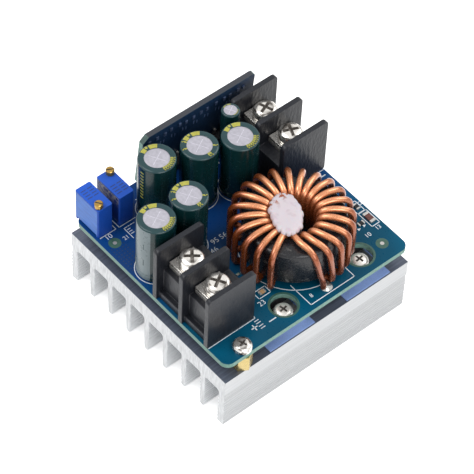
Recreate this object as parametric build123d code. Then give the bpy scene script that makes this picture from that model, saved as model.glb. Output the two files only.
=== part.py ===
from build123d import *
import math
import os

# Step-down power module: a finned heatsink carries the circuit board on two standoffs.
# X runs across the fins, Y along them, Z up. The origin is under the middle of the heatsink.

# Heatsink extrusion, a little larger than the board; its fins carry fine ribs below the base
heatsink_spare_width = 1.4
heatsink_spare_length = 0.4
heatsink_height = 18.0
base_thickness = 5.2
fin_count = 9
outer_fin_thickness = 2.3
fin_tip_thickness = 1.2
fin_root_thickness = 1.8
fin_root_fillet = 0.8
rib_count = 8
rib_height = 0.25
ribbed_share = 0.84

# Screws into the heatsink and the standoffs
tapped_radius = 1.5
tapped_depth = 4.6
thread_clearance = 0.05
thread_length = 3.6
pan_head_radius = 2.55
pan_head_height = 1.9
pan_head_edge = 0.4
recess_width = 0.8
recess_reach = 1.5
recess_depth = 1.0

# Circuit board: its width and length follow from the row of parts along its left side
board_right_margin = 7.35
board_thickness = 1.6
board_corner = 2.5
board_shift = 0.6
screw_hole_clearance = 0.1
lead_hole_clearance = 0.15

# Standoffs: the first is at the front right corner, the second at the back left corner
standoff_across_flats = 5.0
standoff_height = 5.0
first_standoff_inset_x = 2.3
first_standoff_inset_y = 7.1
second_standoff_inset_x = 3.0
second_standoff_inset_y = 2.0

# Transistor and rectifier clamped to the heatsink, screwed through the access holes
device_screw_inset = 5.85
transistor_way = -14.0
rectifier_way = 11.8
access_radius = 3.5
flat_washer_radius = 3.1
flat_washer_thickness = 0.6
split_washer_radius = 2.6
split_washer_thickness = 1.0
pad_width = 15.0
pad_length = 20.0
pad_thickness = 0.3
pad_side_shift = -1.4
pad_overhang = 2.8
tab_width = 10.0
tab_length = 15.6
tab_thickness = 1.3
tab_hole_radius = 1.8
tab_hole_inset = 2.8
mould_length = 9.2
mould_height = 3.2
mould_draft_chamfer = 0.5
leg_pitch = 2.54
leg_width = 0.8
leg_thickness = 0.5
leg_rise = 2.6
leg_reach = 2.2
leg_root = 1.6
leg_end_below_top = 0.1

# Toroidal choke
choke_right_inset = 18.6
choke_back_inset = 23.8
core_outer_radius = 13.5
core_inner_radius = 7.25
core_height = 11.1
core_chamfer = 1.0
wire_radius = 0.75
wire_sides = 8
wire_gap = 0.05
wire_outer_gap = 0.9
wire_inner_gap = 0.15
wire_top_gap = 0.1
turn_count = 22
first_turn_angle = -63.0
turn_step = 15.1
leaning_turns = 4
top_lean_step = -6.5
foot_lean_step = 4.0
mid_lean = 6.0
mid_lean_share = 0.64
mid_lean_turns = 4
lead_foot_lean = 1.7
outer_foot_run = 1.5
outer_foot_cut = 0.4
outer_foot_rise = 0.5
outer_foot_height = 1.8
outer_arch_drop = 4.0
outer_top_drop = 1.2
outer_top_cut = 0.5
outer_top_run = 2.0
inner_top_run = 2.0
inner_top_cut = 0.6
inner_top_dip = 0.35
inner_top_drop = 1.6
inner_foot_height = 1.4
inner_foot_cut = 0.6
inner_foot_rise = 0.3
inner_foot_run = 1.8
lead_below_board = 0.6
stem_half_width = 4.0
stem_half_length = 4.7
stem_shift = 1.0
cap_half_width = 4.2
cap_half_length = 6.5
cap_shift_x = -0.2
cap_shift_y = -2.5
cap_turn = -19.0
cap_clearance = 0.12
cap_height = 1.2
cap_edge = 0.5
solder_radius = 1.5
solder_height = 1.0
solder_rim = 0.2

# Large capacitors: the first one's inset, then the angle and the gap from one to the next
capacitor_can_radius = 4.9
sleeve_thickness = 0.15
capacitor_height = 20.0
capacitor_lip_radius = 3.3
can_top_edge = 0.5
first_capacitor_inset_x = 10.2
first_capacitor_inset_y = 18.75
second_capacitor_angle = 72.8
second_capacitor_gap = 1.57
third_capacitor_angle = 67.9
third_capacitor_gap = 0.8
fourth_capacitor_angle = -6.1
fourth_capacitor_gap = 4.48
fifth_capacitor_angle = -86.9
fifth_capacitor_gap = 0.9
small_can_radius = 2.35
small_capacitor_height = 19.5
small_capacitor_lip_radius = 1.8
small_capacitor_inset = 9.1
small_capacitor_gap = 0.1

# Barrier terminals
pole_pitch = 10.0
pole_count = 2
barrier_thickness = 1.5
barrier_height = 18.5
barrier_corner = 1.2
terminal_depth = 15.3
terminal_floor = 10.15
terminal_front_inset = 2.4
terminal_lip_height = 2.4
terminal_lip_inset = 1.0
clamp_screw_inset = 7.8
clamp_width = 8.0
clamp_length = 7.8
contact_thickness = 1.2
clamp_washer_thickness = 1.0
spring_washer_thickness = 0.9
spring_washer_radius = 3.1
spring_washer_split = 0.7
spring_washer_turn = 30.0
spring_washer_skew = 25.0
clamp_head_radius = 3.3
clamp_head_height = 2.4
clamp_head_edge = 0.5
clamp_shank_radius = 1.7
clamp_shank_length = 9.0
clamp_clearance = 0.05
clamp_bore_radius = 2.2
clamp_bore_depth = 8.0
clamp_recess_reach = 2.1
clamp_recess_width = 1.0
clamp_recess_depth = 1.3
tail_width = 3.0
tail_clearance = 0.1
tail_below_board = 1.2
output_terminal_gap = 1.4
output_terminal_overhang = 0.1
input_terminal_inset = 5.65
input_terminal_gap = 1.65
input_terminal_overhang = 0.4

# Multi-turn trimmers
trimmer_length = 9.5
trimmer_width = 4.8
trimmer_height = 10.0
trimmer_foot = 0.7
trimmer_foot_length = 1.0
trimmer_edge = 0.3
trimmer_pin_size = 0.5
trimmer_pin_pitch = 2.54
trimmer_screw_radius = 1.15
trimmer_screw_proud = 1.6
trimmer_shaft_radius = 0.75
trimmer_bore_depth = 6.0
trimmer_bore_clearance = 0.05
trimmer_shaft_end_gap = 0.1
trimmer_slot_width = 0.5
trimmer_slot_depth = 0.7
trimmer_screw_inset = 1.27
trimmer_slot_turn = 35.0
front_trimmer_inset_x = -0.6
front_trimmer_inset_y = 0.7
trimmer_gap = 2.15

# Upright control board on its pin header
control_length = 37.6
control_height = 18.7
control_thickness = 1.6
control_lean = 5.9
control_foot_gap = 0.3
control_front_inset = 1.1
control_right_end = 3.8
control_corner_cut = 1.8
control_corner_round = 1.0
header_pins = 8
header_pitch = 2.54
header_depth = 2.5
header_height = 2.5
header_pin_size = 0.64
header_pin_height = 4.5
header_pin_tail = 2.6
header_slot = 1.0
chip_length = 5.0
chip_width = 4.0
chip_height = 1.5
chip_level_share = 0.62
first_chip_inset = 8.0
second_chip_inset = 24.0

# Chip parts on the main board: insets from its right edge, and from its front or back edge
small_part_length = 2.0
small_part_width = 1.25
large_part_length = 3.6
large_part_width = 1.7
part_height = 0.6
front_part_inset_x = 12.3
front_part_inset_y = 22.1
framed_part_inset_x = 13.4
framed_part_inset_y = 2.0
hidden_part_inset_x = 18.1
hidden_part_inset_y = 2.2
dark_part_inset_x = 13.2
dark_part_inset_y = 5.0

UP = (Align.CENTER, Align.CENTER, Align.MIN)
CORNER = (Align.MIN, Align.MIN, Align.MIN)


def post(place, bottom, radius, height):
    return Pos(place[0], place[1], bottom) * Cylinder(radius, height, align=UP)


def away(place, angle, reach):
    turn = math.radians(angle)
    return (place[0] + reach * math.cos(turn), place[1] + reach * math.sin(turn))


def capacitor_chain(start):
    width = 2 * capacitor_radius
    second = away(start, second_capacitor_angle, width + second_capacitor_gap)
    third = away(second, third_capacitor_angle, width + third_capacitor_gap)
    fourth = away(start, fourth_capacitor_angle, width + fourth_capacitor_gap)
    fifth = away(fourth, fifth_capacitor_angle, width + fifth_capacitor_gap)
    return [start, second, third, fourth, fifth]


# Levels and edges that follow from the sizes above; insets are counted from the board's front left corner
capacitor_radius = capacitor_can_radius + sleeve_thickness
small_capacitor_radius = small_can_radius + sleeve_thickness
terminal_width = pole_count * pole_pitch + barrier_thickness
capacitor_insets = capacitor_chain((first_capacitor_inset_x, first_capacitor_inset_y))
output_left_inset = capacitor_insets[4][0] + capacitor_radius + output_terminal_gap
board_width = output_left_inset + terminal_width + board_right_margin
input_rear_inset = capacitor_insets[2][1] + capacitor_radius + input_terminal_gap
board_length = input_rear_inset + terminal_depth - input_terminal_overhang
heatsink_width = board_width + heatsink_spare_width
heatsink_length = board_length + heatsink_spare_length
board_bottom = heatsink_height + standoff_height
board_top = board_bottom + board_thickness
board_left = board_shift - board_width / 2
board_right = board_shift + board_width / 2
board_front = -board_length / 2
board_back = board_length / 2
screw_radius = tapped_radius - thread_clearance
first_standoff = (board_right - first_standoff_inset_x, board_front + first_standoff_inset_y)
second_standoff = (board_left + second_standoff_inset_x, board_back - second_standoff_inset_y)
standoff_places = [first_standoff, second_standoff]
choke_x = board_right - choke_right_inset
choke_y = board_back - choke_back_inset
device_screw_x = board_right - device_screw_inset
device_places = [(device_screw_x, choke_y + transistor_way), (device_screw_x, choke_y + rectifier_way)]
tab_bottom = heatsink_height + pad_thickness
tab_top = tab_bottom + tab_thickness
device_screw_seat = tab_top + flat_washer_thickness + split_washer_thickness
tab_end = device_screw_x + tab_hole_inset
leg_turn_x = tab_end - tab_length - leg_reach
core_bottom = board_top + 2 * wire_radius + 2 * wire_gap
core_top = core_bottom + core_height
wire_outer = core_outer_radius + wire_radius + wire_outer_gap
wire_inner = core_inner_radius - wire_radius - wire_inner_gap
wire_bottom = core_bottom - wire_gap - wire_radius
wire_top = core_top + wire_top_gap + wire_radius
output_terminal_x = board_left + output_left_inset + terminal_width / 2
input_terminal_x = board_left + input_terminal_inset + terminal_width / 2
output_front = board_front - output_terminal_overhang
input_front = board_back + input_terminal_overhang
input_rear = input_front - terminal_depth
first_capacitor = (board_left + first_capacitor_inset_x, board_front + first_capacitor_inset_y)
small_capacitor = (board_left + small_capacitor_inset, input_rear - small_capacitor_radius - small_capacitor_gap)
contact_top = terminal_floor + contact_thickness
washer_top = contact_top + clamp_washer_thickness
spring_top = washer_top + spring_washer_thickness
clamp_hole_radius = clamp_shank_radius + clamp_clearance
trimmer_seat = board_top + trimmer_foot
control_start = board_back - control_right_end - control_length
header_middle = control_start + control_length / 2


def cross_recess(place, top, reach, width, depth):
    bar = Box(2 * reach, width, depth, align=UP) + Box(width, 2 * reach, depth, align=UP)
    return Pos(place[0], place[1], top - depth) * bar


# Heatsink: the channels are cut between tapered, finely ribbed fins, with a fillet at each root


def ribbed(tip, root, out):
    """Points up a fin's side, with a row of small ribs that stand out into the air"""
    points = [tip]
    for step in range(1, 2 * rib_count + 1):
        share = ribbed_share * step / (2 * rib_count)
        x = tip[0] + share * (root[0] - tip[0]) + out * rib_height * (step % 2)
        points.append((x, tip[1] + share * (root[1] - tip[1])))
    return points + [root]


def channel(index):
    pitch = (heatsink_width - outer_fin_thickness) / (fin_count - 1)
    left = -heatsink_width / 2 + outer_fin_thickness / 2 + index * pitch
    right = left + pitch
    left_tip = left_root = outer_fin_thickness / 2
    right_tip = right_root = outer_fin_thickness / 2
    if index > 0:
        left_tip, left_root = fin_tip_thickness / 2, fin_root_thickness / 2
    if index < fin_count - 2:
        right_tip, right_root = fin_tip_thickness / 2, fin_root_thickness / 2
    web = heatsink_height - base_thickness
    rising = ribbed((left + left_tip, 0), (left + left_root, web), 1)
    falling = ribbed((right - right_tip, 0), (right - right_root, web), -1)[::-1]
    outline = Polygon(*(rising + falling), align=None)
    return fillet(outline.vertices().group_by(Axis.Y)[-1], fin_root_fillet)


def heatsink():
    side = heatsink_width / 2 - rib_height
    web = heatsink_height - base_thickness
    left = ribbed((-side, 0), (-side, web), -1)
    right = ribbed((side, 0), (side, web), 1)[::-1]
    corners = [(-heatsink_width / 2, heatsink_height), (heatsink_width / 2, heatsink_height)]
    smooth = [(heatsink_width / 2, web)]
    profile = Polygon(*(left + [(-heatsink_width / 2, web)] + corners + smooth + right), align=None)
    for index in range(fin_count - 1):
        profile -= channel(index)
    body = extrude(Plane.XZ * profile, heatsink_length / 2, both=True)
    for place in standoff_places + device_places:
        body -= post(place, heatsink_height - tapped_depth, tapped_radius, tapped_depth)
    return body


# Board and what fastens it


def round_holes():
    holes = [(place, tapped_radius + screw_hole_clearance) for place in standoff_places]
    holes += [(place, access_radius) for place in device_places]
    holes += [(place, wire_radius + lead_hole_clearance) for place in winding_ends()]
    return holes


def slots():
    spare = 2 * lead_hole_clearance
    flat = [(spot, tail_width + spare, contact_thickness + spare) for spot in tail_spots()]
    flat += [(spot, leg_thickness + spare, leg_width + spare) for spot in leg_spots()]
    flat += [(spot, trimmer_pin_size + spare, trimmer_pin_size + spare) for spot in trimmer_pin_spots()]
    flat += [(spot, header_slot, header_pin_size + spare) for spot in header_spots()]
    return flat


def main_board():
    outline = Pos(board_shift, 0) * RectangleRounded(board_width, board_length, board_corner)
    for place, radius in round_holes():
        outline -= Pos(*place) * Circle(radius)
    for place, width, length in slots():
        outline -= Pos(*place) * Rectangle(width, length)
    return Pos(0, 0, board_bottom) * extrude(outline, board_thickness)


def board_standoff(place):
    hex_bar = extrude(RegularPolygon(standoff_across_flats / 2, 6, major_radius=False), standoff_height)
    stud = Pos(0, 0, -thread_length) * Cylinder(screw_radius, thread_length, align=UP)
    bore = Pos(0, 0, standoff_height - tapped_depth) * Cylinder(tapped_radius, tapped_depth, align=UP)
    return Pos(place[0], place[1], heatsink_height) * (hex_bar + stud - bore)


def pan_screw(place, seat, grip):
    head = Cylinder(pan_head_radius, pan_head_height, align=UP)
    head = chamfer(head.edges().group_by(Axis.Z)[-1], pan_head_edge)
    shank = Pos(0, 0, -grip - thread_length) * Cylinder(screw_radius, grip + thread_length, align=UP)
    recess = cross_recess((0, 0), pan_head_height, recess_reach, recess_width, recess_depth)
    return Pos(place[0], place[1], seat) * (head + shank - recess)


# Power devices under the board


def thermal_pad(place):
    x = tab_end + pad_overhang - pad_length / 2
    y = place[1] + pad_side_shift
    return Pos(x, y, heatsink_height) * Box(pad_length, pad_width, pad_thickness, align=UP)


def leg(place, offset):
    start = leg_turn_x + leg_reach + leg_root
    bottom = tab_bottom + leg_rise
    end = board_top - leg_end_below_top
    path = Polygon((start, bottom), (start, bottom + leg_thickness),
                   (leg_turn_x + leg_thickness, bottom + leg_thickness),
                   (leg_turn_x + leg_thickness, end), (leg_turn_x, end),
                   (leg_turn_x, bottom), align=None)
    return Pos(0, place[1] + offset, 0) * extrude(Plane.XZ * path, leg_width / 2, both=True)


def washer(place, seat, radius, thickness):
    return post(place, seat, radius, thickness) - post(place, seat, tapped_radius, thickness)


def device_washers(place):
    flat = washer(place, tab_top, flat_washer_radius, flat_washer_thickness)
    split = washer(place, tab_top + flat_washer_thickness, split_washer_radius, split_washer_thickness)
    return [flat, split]


def leg_spots():
    x = leg_turn_x + leg_thickness / 2
    return [(x, place[1] + step * leg_pitch) for place in device_places for step in (-1, 0, 1)]


def device_tab(place):
    plate = Pos(tab_end - tab_length / 2, place[1], tab_bottom) * Box(
        tab_length, tab_width, tab_thickness, align=UP)
    return plate - post(place, tab_bottom, tab_hole_radius, tab_thickness)


def device_frame(place):
    legs = [leg(place, step * leg_pitch) for step in (-1, 0, 1)]
    return Compound(children=[device_tab(place)] + legs)


def device_mould(place):
    block = Box(mould_length, tab_width, mould_height, align=UP)
    block = chamfer(block.edges().group_by(Axis.Z)[-1], mould_draft_chamfer)
    block = Pos(tab_end - tab_length + mould_length / 2, place[1], tab_top) * block
    for step in (-1, 0, 1):
        block -= leg(place, step * leg_pitch)
    return block


# Choke: a powder core, one thick wire wound through it and a silicone plug in the bore


def toroid_core():
    ring = Cylinder(core_outer_radius, core_height, align=UP)
    ring -= Cylinder(core_inner_radius, core_height, align=UP)
    ring = chamfer(ring.edges().filter_by(GeomType.CIRCLE), core_chamfer)
    return Pos(choke_x, choke_y, core_bottom) * ring


def outer_angle(turn):
    return first_turn_angle - turn_step * turn


def end_share(turn):
    return max(0, turn - (turn_count - 1 - leaning_turns))


def inner_angle(turn):
    middle = mid_lean_share * (turn_count - 1)
    swell = mid_lean * max(0.0, 1 - abs(turn - middle) / mid_lean_turns)
    return outer_angle(turn) + top_lean_step * end_share(turn) + swell


def foot_angle(turn):
    return outer_angle(turn) + foot_lean_step * max(0, end_share(turn) - 1)


def around(radius, angle, height):
    turn = math.radians(angle)
    return (choke_x + radius * math.cos(turn), choke_y + radius * math.sin(turn), height)


def lead_foot():
    return around(wire_outer, foot_angle(turn_count - 1) + lead_foot_lean, board_bottom - lead_below_board)


def inner_end():
    return around(wire_inner, first_turn_angle, board_bottom - lead_below_board)


def winding_ends():
    return [lead_foot()[:2], inner_end()[:2]]


def turn_up(turn):
    foot = foot_angle(turn)
    top = outer_angle(turn)
    return [around(wire_outer - outer_foot_run, foot, wire_bottom),
            around(wire_outer - outer_foot_cut, foot, wire_bottom + outer_foot_rise),
            around(wire_outer, foot, wire_bottom + outer_foot_height),
            around(wire_outer, top, wire_top - outer_arch_drop)]


def turn_over(turn):
    top = outer_angle(turn)
    inner = inner_angle(turn)
    return [around(wire_outer - outer_top_cut, top, wire_top - outer_top_drop),
            around(wire_outer - outer_top_run, top, wire_top),
            around(wire_inner + inner_top_run, inner, wire_top),
            around(wire_inner + inner_top_cut, inner, wire_top - inner_top_dip),
            around(wire_inner, inner, wire_top - inner_top_drop)]


def turn_down(turn):
    angle = outer_angle(turn)
    return [around(wire_inner, angle, wire_bottom + inner_foot_height),
            around(wire_inner + inner_foot_cut, angle, wire_bottom + inner_foot_rise),
            around(wire_inner + inner_foot_run, angle, wire_bottom)]


def winding_route():
    foot = lead_foot()
    last = turn_count - 1
    route = [foot, (foot[0], foot[1], wire_bottom + inner_foot_height),
             around(wire_outer, outer_angle(last), wire_top - outer_arch_drop)]
    for turn in range(last, 0, -1):
        route += turn_over(turn) + turn_down(turn) + turn_up(turn - 1)
    return route + turn_over(0) + [inner_end()]


def toroid_winding():
    route = [Vector(*point) for point in winding_route()]
    start = Plane(route[0], z_dir=route[1] - route[0])
    section = start * RegularPolygon(wire_radius, wire_sides)
    path = Polyline(*route)
    return sweep(section, path, transition=Transition.RIGHT)


def toroid_plug():
    cap_bottom = wire_top + wire_radius + cap_clearance
    stem = extrude(Ellipse(stem_half_length, stem_half_width), cap_bottom - board_top)
    stem = Pos(choke_x, choke_y - stem_shift, board_top) * Rot(0, 0, cap_turn) * stem
    cap = extrude(Ellipse(cap_half_length, cap_half_width), cap_height)
    cap = chamfer(cap.edges().group_by(Axis.Z)[-1], cap_edge)
    return stem + Pos(choke_x + cap_shift_x, choke_y + cap_shift_y, cap_bottom) * Rot(0, 0, cap_turn) * cap


def solder_cone(place, level, height, wire):
    cone = Cone(solder_radius, wire_radius + solder_rim, abs(height), align=UP)
    if height < 0:
        cone = Rot(180, 0, 0) * cone
    return Pos(place[0], place[1], level) * cone - wire


# Electrolytic capacitors


def capacitor_can(place, radius, height):
    can = Cylinder(radius, height - sleeve_thickness, align=UP)
    can = chamfer(can.edges().group_by(Axis.Z)[-1], can_top_edge)
    return Pos(place[0], place[1], board_top) * can


def capacitor_sleeve(place, radius, height, lip):
    outer = Cylinder(radius + sleeve_thickness, height, align=UP)
    outer = chamfer(outer.edges().group_by(Axis.Z)[-1], can_top_edge)
    inner = Cylinder(radius, height - sleeve_thickness, align=UP)
    inner = chamfer(inner.edges().group_by(Axis.Z)[-1], can_top_edge)
    return Pos(place[0], place[1], board_top) * (outer - inner - Cylinder(lip, height, align=UP))


# Barrier terminals, built at the origin with the wire entry towards -Y


def pole_centres():
    return [(index - (pole_count - 1) / 2) * pole_pitch for index in range(pole_count)]


def output_place():
    return Pos(output_terminal_x, output_front, board_top)


def input_place():
    return Pos(input_terminal_x, input_front, board_top) * Rot(0, 0, 180)


def tail_back():
    return clamp_screw_inset + clamp_length / 2


def tail_spots():
    spots = []
    for place in (output_place(), input_place()):
        for x in pole_centres():
            spot = (place * Pos(x, tail_back() - contact_thickness / 2, 0)).position
            spots.append((spot.X, spot.Y))
    return spots


def terminal_housing():
    floor = Polygon((terminal_lip_inset, 0), (terminal_depth, 0), (terminal_depth, terminal_floor),
                    (terminal_front_inset, terminal_floor), (terminal_front_inset, terminal_lip_height),
                    (terminal_lip_inset, terminal_lip_height), align=None)
    body = extrude(Plane.YZ * floor, terminal_width / 2, both=True)
    side = Pos(terminal_depth / 2, barrier_height / 2) * Rectangle(terminal_depth, barrier_height)
    side = fillet(side.vertices().group_by(Axis.Y)[-1], barrier_corner)
    barrier = extrude(Plane.YZ * side, barrier_thickness / 2, both=True)
    for index in range(pole_count + 1):
        body += Pos((index - pole_count / 2) * pole_pitch, 0, 0) * barrier
    for x in pole_centres():
        bore = (x, clamp_screw_inset)
        body -= post(bore, terminal_floor - clamp_bore_depth, clamp_bore_radius, clamp_bore_depth)
        slot = Box(tail_width + 2 * tail_clearance, contact_thickness + 2 * tail_clearance,
                   terminal_floor, align=UP)
        body -= Pos(x, tail_back() - contact_thickness / 2, 0) * slot
    return body


def contact_plate(x):
    place = (x, clamp_screw_inset)
    plate = Pos(*place, terminal_floor) * Box(clamp_width, clamp_length, contact_thickness, align=UP)
    tail_end = -board_thickness - tail_below_board
    tail = Pos(x, tail_back() - contact_thickness / 2, tail_end) * Box(
        tail_width, contact_thickness, terminal_floor - tail_end, align=UP)
    return plate + tail - post(place, terminal_floor, clamp_hole_radius, contact_thickness)


def clamp_washer(x):
    place = (x, clamp_screw_inset)
    plate = Pos(*place, contact_top) * Box(clamp_width, clamp_length, clamp_washer_thickness, align=UP)
    return plate - post(place, contact_top, clamp_hole_radius, clamp_washer_thickness)


def spring_washer(x):
    ring = Cylinder(spring_washer_radius, spring_washer_thickness, align=UP)
    ring -= Cylinder(clamp_hole_radius, spring_washer_thickness, align=UP)
    split = Rot(0, 0, spring_washer_turn) * Pos(spring_washer_radius / 2, 0, 0) * Rot(0, 0, spring_washer_skew)
    ring -= split * Box(2 * spring_washer_radius, spring_washer_split, 3 * spring_washer_thickness)
    rings = ring.solids().sort_by(SortBy.VOLUME)
    return Pos(x, clamp_screw_inset, washer_top) * rings[-1]


def clamp_screw(x):
    place = (x, clamp_screw_inset)
    head = Cylinder(clamp_head_radius, clamp_head_height, align=UP)
    head = Pos(*place, spring_top) * chamfer(head.edges().group_by(Axis.Z)[-1], clamp_head_edge)
    shank = post(place, spring_top - clamp_shank_length, clamp_shank_radius, clamp_shank_length)
    recess = cross_recess(place, spring_top + clamp_head_height, clamp_recess_reach,
                          clamp_recess_width, clamp_recess_depth)
    return head + shank - recess


# Multi-turn trimmers, built at the origin with the corner at (0, 0) and the screw at the far end


def trimmer_screw_spot():
    return (trimmer_length - trimmer_screw_inset, trimmer_screw_inset)


def trimmer_body():
    block = Box(trimmer_length, trimmer_width, trimmer_height, align=CORNER)
    block = chamfer(block.edges().filter_by(Axis.Z), trimmer_edge)
    feet = Pos(0, 0, -trimmer_foot) * Box(trimmer_foot_length, trimmer_width, trimmer_foot, align=CORNER)
    feet = chamfer(feet.edges().filter_by(Axis.Z).group_by(Axis.X)[0], trimmer_edge)
    other = feet.mirror(Plane.YZ).moved(Pos(trimmer_length, 0, 0))
    bore = post(trimmer_screw_spot(), trimmer_height - trimmer_bore_depth,
                trimmer_shaft_radius + trimmer_bore_clearance, trimmer_bore_depth)
    return block + feet + other - bore


def trimmer_screw():
    spot = trimmer_screw_spot()
    length = trimmer_bore_depth - trimmer_shaft_end_gap
    shaft = post(spot, trimmer_height - length, trimmer_shaft_radius, length)
    head = post(spot, trimmer_height, trimmer_screw_radius, trimmer_screw_proud)
    slot = Box(2 * trimmer_screw_radius, trimmer_slot_width, trimmer_slot_depth, align=UP)
    top = trimmer_height + trimmer_screw_proud - trimmer_slot_depth
    return shaft + head - Pos(*spot, top) * Rot(0, 0, trimmer_slot_turn) * slot


def trimmer_pins_local():
    middle = trimmer_length / 2
    return [(middle + step * trimmer_pin_pitch, trimmer_width / 2) for step in (-1, 0, 1)]


def front_trimmer_place():
    return Pos(board_left + front_trimmer_inset_x, board_front + front_trimmer_inset_y, trimmer_seat)


def rear_trimmer_place():
    y = board_front + front_trimmer_inset_y + 2 * trimmer_width + trimmer_gap
    return Pos(board_left + front_trimmer_inset_x + trimmer_length, y, trimmer_seat) * Rot(0, 0, 180)


def trimmer_pin_spots():
    spots = []
    for place in (front_trimmer_place(), rear_trimmer_place()):
        for local in trimmer_pins_local():
            spot = (place * Pos(*local, 0)).position
            spots.append((spot.X, spot.Y))
    return spots


def trimmer_pin(spot):
    bottom = board_bottom - lead_below_board
    pin = Box(trimmer_pin_size, trimmer_pin_size, trimmer_seat - bottom, align=UP)
    return Pos(spot[0], spot[1], bottom) * pin


# Upright control board: its front face leans forward, over the header


def control_place():
    return Pos(board_left + control_front_inset, 0, board_top + control_foot_gap) * Rot(0, control_lean, 0)


def control_board():
    outline = Pos(control_start + control_length / 2, control_height / 2) * Rectangle(
        control_length, control_height)
    top = outline.vertices().group_by(Axis.Y)[-1].sort_by(Axis.X)
    outline = chamfer(top[0], control_corner_cut)
    far = outline.vertices().group_by(Axis.Y)[-1].sort_by(Axis.X)
    outline = fillet(far[-1], control_corner_round)
    return control_place() * extrude(Plane.YZ * outline, -control_thickness)


def header_pin(y):
    height = header_pin_tail + header_pin_height
    pin = Box(header_pin_size, header_pin_size, height, align=(Align.MIN, Align.CENTER, Align.MIN))
    return control_place() * Pos(0, y, -header_pin_tail) * pin


def header_rows():
    return [header_middle + (index - (header_pins - 1) / 2) * header_pitch for index in range(header_pins)]


def header_spots():
    middle = -control_foot_gap - board_thickness / 2
    spots = []
    for y in header_rows():
        spot = (control_place() * Pos(header_pin_size / 2, y, middle)).position
        spots.append((spot.X, spot.Y))
    return spots


def control_header():
    strip = Box(header_depth, header_pins * header_pitch, header_height,
                align=(Align.MIN, Align.CENTER, Align.MIN))
    strip = control_place() * Pos(0, header_middle, 0) * strip
    for y in header_rows():
        strip -= header_pin(y)
    return strip


def control_chip(inset, length):
    block = Box(chip_height, length, chip_width)
    spot = Pos(-control_thickness - chip_height / 2, control_start + inset, control_height * chip_level_share)
    return control_place() * spot * block


def board_part(x, y, length, width):
    return Pos(x, y, board_top) * Box(length, width, part_height, align=UP)


def board_parts():
    front = board_part(board_right - front_part_inset_x, board_front + front_part_inset_y,
                       small_part_width, small_part_length)
    framed = board_part(board_right - framed_part_inset_x, board_back - framed_part_inset_y,
                        large_part_length, large_part_width)
    hidden = board_part(board_right - hidden_part_inset_x, board_back - hidden_part_inset_y,
                        small_part_length, small_part_width)
    dark = board_part(board_right - dark_part_inset_x, board_back - dark_part_inset_y,
                      small_part_width, small_part_length)
    return [front, framed, hidden, dark]


def group(*pieces):
    return Compound(children=list(pieces))


winding = toroid_winding()
pads = [thermal_pad(place) - post(place, heatsink_height, tapped_radius, pad_thickness)
        for place in device_places]
washers = [piece for place in device_places for piece in device_washers(place)]
device_grip = device_screw_seat - heatsink_height
nodes = {
    "heatsink": heatsink(),
    "main_board": main_board(),
    "board_standoffs": group(*[board_standoff(place) for place in standoff_places]),
    "board_screws": group(*[pan_screw(place, board_top, board_thickness) for place in standoff_places]),
    "thermal_pads": group(*pads),
    "device_washers": group(*washers),
    "device_screws": group(*[pan_screw(place, device_screw_seat, device_grip) for place in device_places]),
    "toroid_core": toroid_core(),
    "toroid_winding": winding,
    "toroid_plug": toroid_plug(),
}
for name, place in zip(("transistor", "rectifier"), device_places):
    nodes[name + "_frame"] = device_frame(place)
    nodes[name + "_mould"] = device_mould(place)

for index, place in enumerate(capacitor_chain(first_capacitor), start=1):
    name = "capacitor_%d" % index
    nodes[name + "_can"] = capacitor_can(place, capacitor_can_radius, capacitor_height)
    nodes[name + "_sleeve"] = capacitor_sleeve(place, capacitor_can_radius, capacitor_height,
                                               capacitor_lip_radius)
nodes["small_capacitor_can"] = capacitor_can(small_capacitor, small_can_radius, small_capacitor_height)
nodes["small_capacitor_sleeve"] = capacitor_sleeve(small_capacitor, small_can_radius,
                                                   small_capacitor_height, small_capacitor_lip_radius)
for name, place in (("output", output_place()), ("input", input_place())):
    nodes[name + "_terminal_housing"] = place * terminal_housing()
    nodes[name + "_contact_plates"] = group(*[place * contact_plate(x) for x in pole_centres()])
    for side, x in zip(("left", "right"), pole_centres()):
        pole = name + "_" + side
        nodes[pole + "_clamp_washer"] = place * clamp_washer(x)
        nodes[pole + "_spring_washer"] = place * spring_washer(x)
        nodes[pole + "_clamp_screw"] = place * clamp_screw(x)

for name, place in (("current", front_trimmer_place()), ("voltage", rear_trimmer_place())):
    nodes[name + "_trimmer_body"] = place * trimmer_body()
    nodes[name + "_trimmer_screw"] = place * trimmer_screw()
nodes["trimmer_pins"] = group(*[trimmer_pin(spot) for spot in trimmer_pin_spots()])

nodes["control_board"] = control_board()
nodes["control_header"] = control_header()
nodes["control_header_pins"] = group(*[header_pin(y) for y in header_rows()])
nodes["control_chips"] = group(control_chip(first_chip_inset, chip_length),
                               control_chip(second_chip_inset, chip_width))
nodes["board_chip_parts"] = group(*board_parts())
ends = winding_ends()
nodes["choke_solder"] = group(
    solder_cone(ends[0], board_top, solder_height, winding),
    solder_cone(ends[0], board_bottom, -solder_height, winding),
    solder_cone(ends[1], board_bottom, -solder_height, winding))

os.makedirs("parts", exist_ok=True)
for name, piece in nodes.items():
    export_step(piece, "parts/" + name + ".step")
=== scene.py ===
import math
import random

import bmesh
import bpy
from mathutils import Matrix, Vector


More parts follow.
